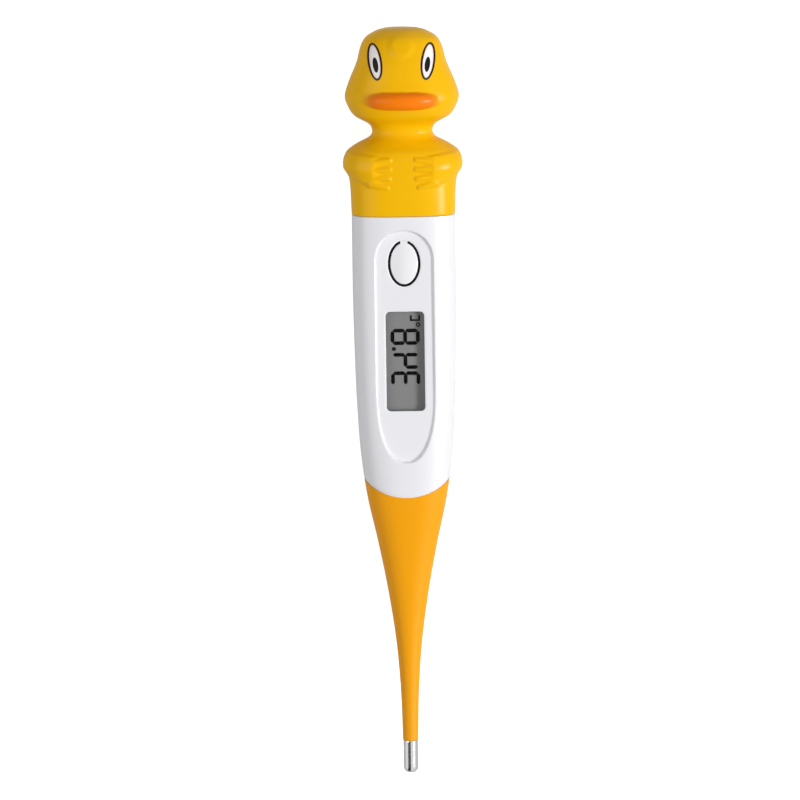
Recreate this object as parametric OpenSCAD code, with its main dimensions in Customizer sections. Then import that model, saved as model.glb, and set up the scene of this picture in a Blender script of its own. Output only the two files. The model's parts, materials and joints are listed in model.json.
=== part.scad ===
// Flexible-tip digital thermometer with a duck-shaped pull-off battery cap.
// It lies on its flat back: +Z is the display side, +Y the duck head, -Y the metal tip.
// The origin is at the middle of the length and width, on the surface that it lies on.

/* [Overall] */
// Length of the duck cap, seam to crown
cap_l = 37.1; // [32:0.1:46]
// Length of the white body, seam to nose
body_l = 56.6; // [54:0.1:70]
// Length of the flexible stem, nose to metal tip
stem_l = 49.7; // [40:0.1:62]
// Length of the metal tip outside the stem
tip_l = 6.6; // [4:0.1:10]

/* [Body] */
// Width of the body
body_w = 20.6; // [17:0.1:26]
// Depth of the body, flat back to front
body_d = 12.4; // [11.5:0.1:16]
// How much the flat back takes off the oval section
back_cut = 0.4; // [0.2:0.05:0.8]
// Thickness of the body's side walls
side_wall = 1.7; // [1.2:0.1:2.4]
// Thickness of the body's front and back, before the panel is sunk
face_wall = 1.8; // [1.4:0.1:2.4]
// Width of the oval sunk panel
panel_w = 11.7; // [10.5:0.1:14]
// Depth of the sunk panel
panel_depth = 0.9; // [0.4:0.05:1.2]
// Distance from the cap seam to the panel's upper end
panel_top = 2.7; // [1.5:0.1:5]
// Length of the sunk panel
panel_l = 46.8; // [42:0.1:52]
// Radius of the round nose seam between body and stem
nose_r = 12.4; // [11:0.1:18]

/* [Display] */
// Width of the display window
window_w = 7.7; // [6:0.1:9]
// Length of the display window
window_l = 20; // [16:0.1:21]
// Corner radius of the display window
window_r = 0.9; // [0.3:0.1:2]
// Distance from the cap seam to the middle of the window
window_at = 29.1; // [27:0.1:32]
// How far the lens reaches under the panel all round
lens_lip = 1.0; // [0.6:0.1:1.2]
// Thickness of the clear lens
lens_t = 0.7; // [0.5:0.05:0.8]
// Thickness of the liquid-crystal panel
lcd_t = 2.0; // [1.2:0.1:2.4]
// How far the liquid-crystal panel reaches past the window all round
lcd_lip = 1.4; // [1:0.1:1.8]

/* [Button] */
// Width of the oval button, outside its slot
button_w = 6.5; // [5:0.1:8]
// Length of the oval button, outside its slot
button_l = 9.3; // [8:0.1:11]
// Width of the slot round the button
button_slot = 0.5; // [0.3:0.05:0.8]
// Distance from the cap seam to the middle of the button
button_at = 9.45; // [8.5:0.05:11]
// Height of the button's dome above the panel
button_dome = 0.35; // [0.1:0.05:0.6]
// Width of the flexing neck that carries the button
neck_w = 1.45; // [1:0.05:2.2]

/* [Battery] */
// Diameter of the button cell
cell_d = 7.9; // [7.9, 9.5]
// Height of the button cell
cell_h = 3.6; // [3:0.1:3.8]
// Distance from the cap seam to the middle of the cell, into the body
cell_at = 1.9; // [1.5:0.1:3]

/* [Stem] */
// Diameter of the thin end of the stem
stem_d = 3.3; // [2.8:0.1:4.5]
// Number of hinged links that stand in for the flexible sleeve
links = 8; // [8]
// Distance from the nose to the first hinge
first_hinge = 3.8; // [3:0.1:5]
// Length of the last link, hinge to metal tip
last_link = 5.7; // [5:0.1:7]
// Length of each link as a share of the one before
link_ratio = 0.91; // [0.88:0.01:0.95]
// Diameter of the metal tip
tip_d = 2.9; // [2.4:0.1:3.6]
// Wall of the metal tip
tip_wall = 0.2; // [0.15:0.05:0.4]
// Diameter of each lead wire
wire_d = 0.24; // [0.16:0.02:0.3]

/* [Clearances] */
// Between a sliding piece and its guide
slide_gap = 0.1; // [0.05:0.01:0.2]
// Between the plug and the bore that it slides in
plug_gap = 0.15; // [0.1:0.01:0.3]
// Between the rounded end of a link and the hollow of the next
ball_gap = 0.05; // [0.02:0.01:0.1]
// Between pieces that are glued or clipped together
seat_gap = 0.02; // [0.01:0.01:0.05]

/* [Hidden] */
LINK_NODES = [for (i = [1:8]) str("stem_link_", i)];
LEAD_NODES = [for (i = [0:8]) str("lead_wires_", i)];
$fn = 64;
eps = 0.01;

// Stations along the length
crown_y = (cap_l + body_l + stem_l + tip_l) / 2;
seam_y = crown_y - cap_l;
nose_y = seam_y - body_l;
stem_end_y = nose_y - stem_l;
tip_y = stem_end_y - tip_l;

// Heights through the body
half_w = body_w / 2;
half_d = (body_d + back_cut) / 2;
axis_z = half_d - back_cut;
panel_z = body_d - panel_depth;
bore_hw = half_w - side_wall;
bore_hd = half_d - face_wall;
ceiling_z = axis_z + bore_hd;
oval_n = 3;
stem_r = stem_d / 2;
wire_r = wire_d / 2;

// ---- Outline of body and stem ----
// Each station is [y, share of the body's width, share of its depth]; 0 is the thin stem, 1 the body.
function on_body(f) = nose_y + body_l * f;
function on_stem(g) = nose_y - stem_l * g;
TAPER = [
    [on_stem(1), 0, 0],
    [on_stem(0.8), 0.032, 0.058],
    [on_stem(0.6), 0.118, 0.18],
    [on_stem(0.4), 0.277, 0.36],
    [on_stem(0.2), 0.49, 0.575],
    [on_stem(0), 0.735, 0.815],
    [on_body(0.16), 0.872, 0.965],
    [on_body(0.33), 0.94, 1],
    [on_body(0.5), 0.975, 1],
    [on_body(0.72), 1, 1],
    [on_body(1), 1, 1]
];

function clamp(v, low, high) = max(low, min(high, v));
function ease(v) = let (u = clamp(v, 0, 1)) u * u * (3 - 2 * u);

// Smooth curve through column c of a table whose first column rises
function slope(t, i, c) =
    let (a = max(i - 1, 0), b = min(i + 1, len(t) - 1)) (t[b][c] - t[a][c]) / (t[b][0] - t[a][0]);
function segment(t, y, i = 0) = (i >= len(t) - 2 || y < t[i + 1][0]) ? i : segment(t, y, i + 1);
function curve(t, y, c) =
    let (
        v = clamp(y, t[0][0], t[len(t) - 1][0]),
        i = segment(t, v),
        h = t[i + 1][0] - t[i][0],
        u = (v - t[i][0]) / h
    )
    t[i][c] * (1 + 2 * u) * (1 - u) * (1 - u) + slope(t, i, c) * h * u * (1 - u) * (1 - u)
        + t[i + 1][c] * u * u * (3 - 2 * u) + slope(t, i + 1, c) * h * u * u * (u - 1);
function width_at(y) = stem_r + (half_w - stem_r) * clamp(curve(TAPER, y, 1), 0, 1);
function depth_at(y) = stem_r + (half_d - stem_r) * clamp(curve(TAPER, y, 2), 0, 1);
function power_at(y) = 2 + (oval_n - 2) * clamp(curve(TAPER, y, 1), 0, 1);

// Superellipse: an oval with flatter faces as n grows
function spow(v, p) = sign(v) * pow(abs(v), p);
function oval(hw, hd, n, count) = [
    for (k = [0:count - 1])
        let (t = 360 * k / count) [hw * spow(cos(t), 2 / n), hd * spow(sin(t), 2 / n)]
];

// Closed solid through rings of points, all with as many points, that follow each other along +Y
module loft(rings) {
    n = len(rings[0]);
    points = [for (ring = rings) for (p = ring) p];
    sides = [
        for (j = [0:len(rings) - 2])
            for (k = [0:n - 1])
                let (m = (k + 1) % n, a = j * n, b = a + n)
                    each [[a + k, a + m, b + m], [a + k, b + m, b + k]]
    ];
    first = [for (k = [n - 1:-1:0]) k];
    last = [for (k = [0:n - 1]) (len(rings) - 1) * n + k];
    polyhedron(points = points, faces = concat([first], sides, [last]));
}

function outline_ring(y, count) = [
    for (p = oval(width_at(y), depth_at(y), power_at(y), count)) [p[0], y, axis_z + p[1]]
];

module outline(y0, y1, pitch, count) {
    steps = max(1, ceil((y1 - y0) / pitch));
    loft([for (j = [0:steps]) outline_ring(y0 + (y1 - y0) * j / steps, count)]);
}

// ---- Shared helpers ----
// Draws with local +Z along +Y, and local -Y along +Z, from the body's axis
module along_y(y) {
    translate([0, y, axis_z])
        rotate([-90, 0, 0])
            children();
}

module oval_prism(y0, y1, hw, hd) {
    along_y(y0)
        linear_extrude(y1 - y0)
            polygon(oval(hw, hd, oval_n, 48));
}

module block(x0, x1, y0, y1, z0, z1) {
    translate([x0, y0, z0])
        cube([x1 - x0, y1 - y0, z1 - z0]);
}

// Rounded plate round a point of the centre line
module plate(y, w, l, r, z0, z1) {
    translate([0, y, z0])
        linear_extrude(z1 - z0)
            offset(r = r)
                square([w - 2 * r, l - 2 * r], center = true);
}

module ellipse_plate(y, w, l, z0, z1) {
    translate([0, y, z0])
        linear_extrude(z1 - z0)
            polygon([for (k = [0:63]) [w / 2 * cos(k * 5.625), l / 2 * sin(k * 5.625)]]);
}

// ---- White body ----
panel_end_l = 14;
panel_top_y = seam_y - panel_top;
panel_low_y = panel_top_y - panel_l;
window_y = seam_y - window_at;
button_y = seam_y - button_at;
bore_end_y = window_y - window_l / 2 - lcd_lip - 2;
nose_bore_hw = 6.4;
nose_bore_hd = 3.6;
nose_bore_end_y = nose_y + 6;
lead_bore_r = 1.1;
spigot_hw = 5;
spigot_hd = 3.4;
spigot_l = 2.8;
seal_rim = 1;

module panel_outline() {
    r = panel_w / 2;
    top = panel_top_y - r;
    low = panel_low_y + panel_end_l;
    polygon(concat(
        [for (k = [0:32]) let (t = k * 180 / 32) [r * cos(t), top + r * sin(t)]],
        [for (k = [0:32]) let (t = 180 + k * 180 / 32) [r * cos(t), low + panel_end_l * sin(t)]]
    ));
}

// Everything on the head side of the round nose seam, grown by gap
module nose_side(gap) {
    translate([0, nose_y + nose_r, -body_d])
        cylinder(r = nose_r + gap, h = 3 * body_d, $fn = 128);
    block(-body_w, body_w, nose_y + nose_r, crown_y + 1, -body_d, 2 * body_d);
}

module button_notch(gap, z0, z1) {
    block(-neck_w / 2 - gap, neck_w / 2 + gap, button_y, hinge_end_y + gap, z0, z1);
}

module body_shell() {
    color("whitesmoke")
        difference() {
            union() {
                intersection() {
                    outline(nose_y - 1, seam_y, 3.2, 40);
                    nose_side(0);
                    block(-body_w, body_w, nose_y - 2, seam_y + 1, 0, 2 * body_d);
                }
                oval_prism(nose_y - spigot_l, nose_y + 3, spigot_hw, spigot_hd);
            }
            oval_prism(bore_end_y, seam_y + 1, bore_hw, bore_hd);
            oval_prism(nose_bore_end_y, bore_end_y + 1, nose_bore_hw, nose_bore_hd);
            along_y(nose_y - spigot_l - 1)
                cylinder(r = lead_bore_r, h = spigot_l + 8);
            translate([0, 0, panel_z])
                linear_extrude(body_d)
                    panel_outline();
            plate(window_y, window_w, window_l, window_r, ceiling_z - 1, body_d);
            plate(window_y, window_w + 2 * lens_lip + seat_gap, window_l + 2 * lens_lip + seat_gap,
                  window_r, ceiling_z - 1, lens_z + lens_t + seat_gap);
            ellipse_plate(button_y, button_w, button_l, ceiling_z - 1, body_d);
            button_notch(seat_gap, ceiling_z - eps, body_d);
            ellipse_plate(button_y, button_w + 2 * seal_rim + 0.2, button_l + 2 * seal_rim + 0.2,
                          ceiling_z - 1, ceiling_z);
        }
}

// ---- Display, from the lens down to the circuit board ----
lens_z = ceiling_z - 0.45;
lcd_top_z = lens_z - 0.15;
lcd_z = lcd_top_z - lcd_t;
reflector_t = 0.2;
board_t = 0.8;
board_top_z = axis_z - wire_r;
board_z = board_top_z - board_t;
frame_wall = 0.85;
lcd_w = window_w + 2 * lcd_lip - 0.1;
lcd_l = window_l + 2 * lcd_lip + 0.2;
zebra_w = 1.4;

module window_lens() {
    color("lightcyan", 0.5)
        plate(window_y, window_w + 2 * lens_lip - seat_gap, window_l + 2 * lens_lip - seat_gap,
              window_r, lens_z, lens_z + lens_t);
}

module lcd_panel() {
    color("gray")
        plate(window_y, lcd_w, lcd_l, 0.3, lcd_z, lcd_top_z);
}

module lcd_reflector() {
    color("silver")
        plate(window_y, lcd_w - 2 * zebra_w - 1.2, lcd_l - 1, 0.3, lcd_z - reflector_t, lcd_z);
}

module lcd_frame() {
    color("white")
        difference() {
            plate(window_y, lcd_w + 2 * frame_wall, lcd_l + 2 * frame_wall, 0.5,
                  board_top_z, lcd_top_z - 0.6);
            plate(window_y, lcd_w + 0.1, lcd_l + 0.1, 0.3, board_top_z - 1, lcd_top_z);
            block(-1, 1, board_low_y - 1, window_y, board_top_z - 1, board_top_z + 2 * wire_d);
        }
}

module zebra_strips() {
    color("dimgray")
        for (side = [-1, 1])
            translate([side * (lcd_w / 2 - zebra_w / 2 - 0.2), 0, 0])
                plate(window_y, zebra_w, lcd_l - 1, 0.1, board_top_z, lcd_z);
}

// ---- Button, seal and switch ----
button_hw = button_w / 2 - button_slot;
button_hl = button_l / 2 - button_slot;
hinge_y = button_y + button_l / 2 + 0.1;
hinge_end_y = hinge_y + 0.15;
press_y = button_y - 1.85;
seal_t = 0.3;
seal_drop = 0.45;
seal_z = ceiling_z - seal_drop - seal_t;
boss_r = 1.3;
dome_r = 1.5;
dome_h = 0.5;

// Ball whose cap makes the button's dome, level with the panel at the button's long end
dome_ball_r = (button_hl * button_hl + button_dome * button_dome) / (2 * button_dome);

module power_button() {
    color("white")
        union() {
            ellipse_plate(button_y, 2 * button_hw, 2 * button_hl, ceiling_z, panel_z);
            intersection() {
                ellipse_plate(button_y, 2 * button_hw, 2 * button_hl, ceiling_z, body_d);
                translate([0, button_y, panel_z + button_dome - dome_ball_r])
                    sphere(r = dome_ball_r, $fn = 128);
            }
            block(-neck_w / 2, neck_w / 2, button_y + button_hl - 0.6, hinge_end_y, ceiling_z + 0.3, panel_z);
            translate([0, press_y, ceiling_z - seal_drop + seat_gap])
                cylinder(r = 1, h = seal_drop);
        }
}
module button_seal() {
    color("#1a1a1a")
        union() {
            difference() {
                ellipse_plate(button_y, button_w + 2 * seal_rim, button_l + 2 * seal_rim, seal_z, ceiling_z);
                ellipse_plate(button_y, button_w + seal_rim, button_l + seal_rim, seal_z + seal_t, body_d);
            }
            translate([0, press_y, board_top_z + dome_h + 0.1])
                cylinder(r = boss_r, h = seal_z - board_top_z - dome_h);
        }
}

module switch_dome() {
    ball_r = (dome_r * dome_r + dome_h * dome_h) / (2 * dome_h);
    color("silver")
        intersection() {
            translate([0, press_y, board_top_z + dome_h - ball_r])
                sphere(r = ball_r);
            translate([0, press_y, board_top_z])
                cylinder(r = dome_r + 1, h = 2 * dome_h);
        }
}

// ---- Battery drawer, which the chassis guides ----
wall = 1.25;
drawer_hw = cell_d / 2 + slide_gap + wall + 0.1;
cell_y = seam_y - cell_at;
cell_z = axis_z - cell_h / 2 - 0.35;
drawer_floor = 0.4;
drawer_z = cell_z - drawer_floor;
drawer_top_z = cell_z + cell_h + 0.55;
drawer_low_y = cell_y - cell_d / 2 - 1.15;
drawer_end_y = cell_y + cell_d / 2 + 4.05;
guide_y = drawer_low_y - 0.3;
guide_t = 0.8;

// ---- Chassis, circuit board and what it carries ----
rail_hw = bore_hw - 1;
rail_in = rail_hw - 2;
board_hw = rail_hw - 0.6;
floor_z = axis_z - bore_hd + 0.8;
floor_t = 0.8;
chassis_low_y = bore_end_y + 0.4;
board_low_y = chassis_low_y + 0.6;
board_top_y = guide_y - 0.6;
guide_top_y = seam_y - 0.5;

module chassis() {
    channel = [
        [0, floor_z], [rail_hw - 1.6, floor_z], [rail_hw, floor_z + 1.3], [rail_hw, board_top_z + 1.2],
        [board_hw + 0.05, board_top_z + 1.2], [board_hw + 0.05, board_z], [rail_in, board_z],
        [rail_in, floor_z + floor_t], [0, floor_z + floor_t]
    ];
    guide = [
        [0, drawer_z - 0.5], [3.4, drawer_z - 0.5], [drawer_hw + slide_gap + guide_t, axis_z - 2],
        [drawer_hw + slide_gap + guide_t, axis_z + 2], [drawer_hw + slide_gap, axis_z + 2],
        [drawer_hw + slide_gap, drawer_z - slide_gap], [0, drawer_z - slide_gap]
    ];
    color("ivory")
        union()
            for (side = [0, 1])
                mirror([side, 0, 0]) {
                    profile_along_y(channel, chassis_low_y, guide_y);
                    profile_along_y(guide, guide_y - 0.6, guide_top_y);
                }
}

// Extrudes a list of [x, z] corners along the length
module profile_along_y(corners, y0, y1) {
    translate([0, y1, 0])
        rotate([90, 0, 0])
            linear_extrude(y1 - y0)
                polygon(corners);
}

module circuit_board() {
    color("seagreen")
        block(-board_hw, board_hw, board_low_y, board_top_y, board_z, board_top_z);
}

module chip_blob() {
    blob_r = 2.6;
    blob_h = 1;
    ball_r = (blob_r * blob_r + blob_h * blob_h) / (2 * blob_h);
    color("#202020")
        intersection() {
            translate([0, window_y, board_z - blob_h + ball_r])
                sphere(r = ball_r);
            translate([0, window_y, board_z - 2 * blob_h])
                cylinder(r = blob_r + 1, h = 2 * blob_h);
        }
}

module smd_components() {
    color("saddlebrown")
        for (row = [0:2])
            for (side = [-1, 1])
                translate([side * 4.2, window_y - 7 + row * 2.4, board_z - 0.5])
                    translate([-0.8, -0.4, 0])
                        cube([1.6, 0.8, 0.5]);
}

module piezo_buzzer() {
    at = [0, window_y + 11, floor_z + floor_t];
    color("goldenrod")
        translate(at)
            union() {
                cylinder(r = rail_in - 0.4, h = 0.25);
                cylinder(r = rail_in - 1.8, h = 0.5);
            }
}

// A spring leaf from the board's end to the cell's face at height leaf_z
contact_x = 2.6;
leaf_w = 1.7;
leaf_t = 0.25;
leaf_end_y = cell_y + 1;

module contact(x, foot_z, leaf_z) {
    riser_y = board_top_y - 1;
    low = min(foot_z, leaf_z);
    high = max(foot_z, leaf_z) + leaf_t;
    union() {
        block(x - leaf_w / 2, x + leaf_w / 2, riser_y - 3, riser_y, foot_z, foot_z + leaf_t);
        block(x - leaf_w / 2, x + leaf_w / 2, riser_y - leaf_t, riser_y, low, high);
        block(x - leaf_w / 2, x + leaf_w / 2, riser_y - leaf_t, leaf_end_y, leaf_z, leaf_z + leaf_t);
    }
}

module contact_negative() {
    color("gold")
        contact(contact_x, board_top_z, cell_z + cell_h + 0.05);
}

module contact_positive() {
    color("gold")
        contact(-contact_x, board_z - leaf_t, cell_z - leaf_t - 0.05);
}

module battery() {
    step = 0.4;
    color("gainsboro")
        translate([0, cell_y, cell_z])
            union() {
                cylinder(d = cell_d, h = cell_h - step);
                cylinder(d = cell_d - 1.6, h = cell_h);
            }
}

module battery_drawer() {
    slot = leaf_w + 0.5;
    slot_end_y = leaf_end_y + 0.3;
    color("ivory")
        difference() {
            block(-drawer_hw, drawer_hw, drawer_low_y, drawer_end_y, drawer_z, drawer_top_z);
            translate([0, cell_y, cell_z])
                cylinder(d = cell_d + 2 * slide_gap, h = 3 * cell_h);
            translate([0, cell_y, drawer_z - 1])
                cylinder(d = cell_d - 2.4, h = 3);
            block(contact_x - slot / 2, contact_x + slot / 2, drawer_low_y - 1, slot_end_y,
                  cell_z + cell_h - 0.1, drawer_top_z + 1);
            block(-contact_x - slot / 2, -contact_x + slot / 2, drawer_low_y - 1, slot_end_y,
                  drawer_z - 1, cell_z + eps);
            for (z = [drawer_z - 1, drawer_top_z - 0.8])
                block(-drawer_hw + 1.2, drawer_hw - 1.2, drawer_end_y - 2.6, drawer_end_y - 1, z, z + 1.8);
        }
}

// ---- Duck cap, its plug and seal ring ----
plug_hw = bore_hw - plug_gap;
plug_hd = bore_hd - plug_gap;
plug_wall = 1.2;
plug_low_y = button_y + button_l / 2 + seal_rim + 0.35;
plug_floor_y = drawer_end_y + 0.4;
plug_top_y = plug_floor_y + 1;
ring_y = (plug_low_y + seam_y) / 2;
ring_d = 1.0;
ring_deep = 0.55;
core_end_y = seam_y + 0.77 * cap_l;

// Each station is [share of the cap's length, half width, front height, back height]
DUCK = [
    [0, half_w, body_d, -back_cut],
    [0.2, half_w + 0.45, body_d + 0.5, -back_cut],
    [0.262, half_w + 1.6, body_d + 0.8, -back_cut],
    [0.337, half_w + 0.95, body_d + 0.5, 0],
    [0.38, 9.2, body_d - 0.7, 1],
    [0.415, 6.7, 10.7, 1.8],
    [0.445, 6.0, 10.3, 2],
    [0.488, 6.7, 10.9, 1.6],
    [0.534, 9.5, 12.9, 0.5],
    [0.593, 10.9, 14.3, -0.3],
    [0.642, 11.35, 14.6, -0.5],
    [0.714, 10.6, 14.3, -0.4],
    [0.825, 8.9, 13.6, 0],
    [0.906, 8.1, 12.6, 0.8],
    [0.957, 7.0, 11.6, 1.8],
    [0.992, 4.8, 9.9, 3.4],
    [1, 3.6, 9, 4.2]
];
bill_y = seam_y + 0.64 * cap_l;
bill_hw = 7.2;
bill_hl = 2.1;
bill_out = 1.7;
arm_r = 2.5;
arm_out = 0.7;
elbow = [half_w + 0.5, 0.27 * cap_l];
hand = [3.6, 0.225 * cap_l];

// Distance of a point from the line between two others
function reach(p, a, b) =
    let (ab = b - a, u = clamp((p - a) * ab / (ab * ab), 0, 1)) norm(p - a - u * ab);

// How far bill and arms stand out of the duck's front
function relief(x, y) =
    let (
        bill = norm([x / bill_hw, (y - bill_y) / bill_hl]),
        arm = reach([abs(x), y - seam_y], elbow, hand)
    )
    bill_out * sqrt(max(0, 1 - bill * bill)) + arm_out * ease((arm_r - arm) / 0.9);

function duck_ring(y, count) =
    let (
        s = (y - seam_y) / cap_l,
        hw = curve(DUCK, s, 1),
        front = curve(DUCK, s, 2),
        back = curve(DUCK, s, 3),
        n = oval_n - 0.7 * ease(s / 0.4)
    )
    [
        for (p = oval(hw, (front - back) / 2, n, count))
            let (face = ease(p[1] / 3)) [p[0], y, max(0, (front + back) / 2 + p[1] + face * relief(p[0], y))]
    ];

module duck_cap() {
    rings = 40;
    color("gold")
        difference() {
            loft([
                for (j = [0:rings])
                    let (s = j / rings, y = seam_y + cap_l * (s < 0.9 ? s : 0.9 + 0.1 * sin((s - 0.9) * 900)))
                        duck_ring(y, 44)
            ]);
            oval_prism(seam_y - 1, plug_top_y + seat_gap, plug_hw + seat_gap, plug_hd + seat_gap);
            oval_prism(plug_top_y, core_end_y, 3.4, 2.2);
        }
}

module cap_plug() {
    color("khaki")
        difference() {
            oval_prism(plug_low_y, plug_top_y, plug_hw, plug_hd);
            oval_prism(plug_low_y - 1, plug_floor_y, plug_hw - plug_wall, plug_hd - plug_wall);
            difference() {
                oval_prism(ring_y - ring_d / 2 - 0.1, ring_y + ring_d / 2 + 0.1, plug_hw + 1, plug_hd + 1);
                oval_prism(ring_y - ring_d, ring_y + ring_d, plug_hw - ring_deep, plug_hd - ring_deep);
            }
        }
}

module cap_seal_ring() {
    r = ring_d / 2;
    squeeze = (bore_hw - plug_hw + ring_deep) / ring_d - 0.06;
    mid_hw = plug_hw - ring_deep + 0.02 + r * squeeze;
    mid_hd = plug_hd - ring_deep + 0.02 + r * squeeze;
    sides = 8;
    count = 44;
    path = oval(mid_hw, mid_hd, oval_n, count);
    points = [
        for (k = [0:count - 1])
            let (p = path[k], q = path[(k + 1) % count], o = path[(k + count - 1) % count],
                 along = (q - o) / norm(q - o), out = [along[1], -along[0]])
                for (m = [0:sides - 1])
                    let (t = 360 * m / sides)
                        [p[0] + out[0] * r * squeeze * cos(t), ring_y + r * sin(t),
                         axis_z + p[1] + out[1] * r * squeeze * cos(t)]
    ];
    faces = [
        for (k = [0:count - 1])
            for (m = [0:sides - 1])
                let (a = k * sides, b = ((k + 1) % count) * sides, n = (m + 1) % sides)
                    each [[a + m, b + m, b + n], [a + m, b + n, a + n]]
    ];
    color("#303030")
        polyhedron(points = points, faces = faces);
}

// ---- Flexible stem: a chain of links with round ends ----
chain_l = stem_l - first_hinge - last_link;
first_pitch = chain_l * (1 - link_ratio) / (1 - pow(link_ratio, links - 1));
function hinge_at(i) =
    nose_y - first_hinge - first_pitch * (1 - pow(link_ratio, i - 1)) / (1 - link_ratio);
function ball_r(i) = width_at(hinge_at(i)) / cos(30);
// Greatest bend of each hinge, in degrees, which the flared bores allow for
function bend_at(i) = 8 + 2.8 * i;
lead_gap = 0.12;
lead_x = 0.16;

// What hinge i's rounded end leaves of the space on the tip side of its centre
module past_ball(i) {
    difference() {
        block(-body_w, body_w, tip_y, hinge_at(i), -body_d, 2 * body_d);
        along_y(hinge_at(i))
            sphere(r = ball_r(i), $fn = 96);
    }
}

module flared_bore(i) {
    reach_l = ball_r(i) + 1;
    flare = lead_x + wire_r + 0.1;
    along_y(hinge_at(i) - reach_l)
        cylinder(r1 = flare + reach_l * tan(bend_at(i)), r2 = flare, h = reach_l);
}

module stem_base() {
    color("orange")
        difference() {
            outline(hinge_at(1) - ball_r(1) - eps, on_body(0.08), 2.6, 36);
            nose_side(seat_gap);
            past_ball(1);
            oval_prism(nose_y - spigot_l - seat_gap, nose_y + 3, spigot_hw + seat_gap, spigot_hd + seat_gap);
            along_y(hinge_at(1) - eps)
                cylinder(r = lead_bore_r, h = 6);
            flared_bore(1);
        }
}

module stem_link(i) {
    bore_r = lead_x + wire_r + 0.1;
    last = i == links;
    low_y = last ? stem_end_y : hinge_at(i + 1) - ball_r(i + 1) - eps;
    color("orange")
        difference() {
            outline(low_y, hinge_at(i), 2.2, 32);
            along_y(hinge_at(i))
                sphere(r = ball_r(i) + ball_gap, $fn = 96);
            if (!last) {
                past_ball(i + 1);
                flared_bore(i + 1);
                along_y(hinge_at(i + 1) - eps)
                    cylinder(r = bore_r, h = hinge_at(i) - hinge_at(i + 1));
            } else {
                along_y(stem_end_y - 1)
                    cylinder(r = shank_r + seat_gap, h = shank_l + 1);
                along_y(stem_end_y)
                    cylinder(r = bore_r, h = last_link);
            }
        }
}

// ---- Metal tip and what is inside it ----
shank_r = tip_d / 2 - 0.35;
shank_l = 3.1;
tip_round = 1.1;
bead_r = 0.5;
bead_y = tip_y + tip_wall + bead_r + 0.9;

module tip_shape(r, end_y, round_r) {
    along_y(end_y)
        rotate_extrude()
            union() {
                translate([0, round_r])
                    square([r, stem_end_y - end_y - round_r]);
                square([r - round_r, round_r + eps]);
                translate([r - round_r, round_r])
                    intersection() {
                        circle(r = round_r);
                        translate([0, -round_r])
                            square([round_r, round_r + eps]);
                    }
            }
}

module probe_tip() {
    color("silver")
        difference() {
            union() {
                tip_shape(tip_d / 2, tip_y, tip_round);
                along_y(stem_end_y - 1)
                    cylinder(r = shank_r, h = shank_l + 1);
            }
            tip_shape(tip_d / 2 - tip_wall, tip_y + tip_wall, tip_round - tip_wall);
            along_y(stem_end_y - 1)
                cylinder(r = shank_r - tip_wall, h = shank_l + 2);
        }
}

module thermistor() {
    color("darkslategray")
        along_y(bead_y)
            sphere(r = bead_r);
}

module tip_filler() {
    fill_l = 3.4;
    color("peru")
        difference() {
            intersection() {
                tip_shape(tip_d / 2 - tip_wall - seat_gap, tip_y + tip_wall + seat_gap, tip_round - tip_wall);
                block(-tip_d, tip_d, tip_y, tip_y + fill_l, 0, body_d);
            }
            along_y(bead_y)
                sphere(r = bead_r + seat_gap);
            along_y(bead_y)
                cylinder(r = lead_x + wire_r + seat_gap, h = fill_l);
        }
}

module lead_wires(i) {
    top_y = i == 0 ? board_low_y + 1.6 : hinge_at(i) - lead_gap;
    low_y = i == links ? bead_y + bead_r - 0.02 : hinge_at(i + 1) + lead_gap;
    color("firebrick")
        for (side = [-1, 1])
            translate([side * lead_x, 0, 0])
                along_y(low_y)
                    cylinder(r = wire_r, h = top_y - low_y, $fn = 24);
}

body_shell();
window_lens();
power_button();
button_seal();
switch_dome();
chassis();
circuit_board();
lcd_panel();
lcd_reflector();
lcd_frame();
zebra_strips();
chip_blob();
smd_components();
piezo_buzzer();
contact_positive();
contact_negative();
battery();
battery_drawer();
duck_cap();
cap_plug();
cap_seal_ring();
stem_base();
probe_tip();
thermistor();
tip_filler();
for (i = [1:8])
    stem_link(i);
for (i = [0:8])
    lead_wires(i);
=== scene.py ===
import json
import math
import bmesh
import bpy
import numpy as np
from mathutils import Matrix, Vector


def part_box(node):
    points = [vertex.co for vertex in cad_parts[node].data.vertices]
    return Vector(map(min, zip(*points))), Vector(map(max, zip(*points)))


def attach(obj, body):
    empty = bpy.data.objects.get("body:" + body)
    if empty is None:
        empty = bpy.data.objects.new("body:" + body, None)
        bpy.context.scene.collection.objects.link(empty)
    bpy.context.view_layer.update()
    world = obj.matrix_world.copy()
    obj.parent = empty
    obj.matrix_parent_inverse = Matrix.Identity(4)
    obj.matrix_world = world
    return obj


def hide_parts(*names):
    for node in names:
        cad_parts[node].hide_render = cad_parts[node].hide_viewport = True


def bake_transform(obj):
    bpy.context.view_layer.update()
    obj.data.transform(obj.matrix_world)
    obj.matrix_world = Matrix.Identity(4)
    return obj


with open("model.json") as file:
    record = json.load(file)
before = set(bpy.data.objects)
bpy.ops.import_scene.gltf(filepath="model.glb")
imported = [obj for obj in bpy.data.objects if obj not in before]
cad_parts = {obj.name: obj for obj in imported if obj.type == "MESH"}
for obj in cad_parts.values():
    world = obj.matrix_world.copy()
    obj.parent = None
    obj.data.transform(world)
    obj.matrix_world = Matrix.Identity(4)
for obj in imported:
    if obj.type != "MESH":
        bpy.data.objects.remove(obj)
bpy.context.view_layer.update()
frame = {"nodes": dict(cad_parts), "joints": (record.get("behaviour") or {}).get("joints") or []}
nodes = frame["nodes"]
hinges = {joint["name"]: joint for joint in frame["joints"]}

# ---- Body shell -----------------------------------------------------------------------------------
# The real body is one tube of white ABS, moulded with a satin skin. A shallow racetrack panel is sunk
# into its front, and the display window and the slot round the button are cut through that panel.

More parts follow.
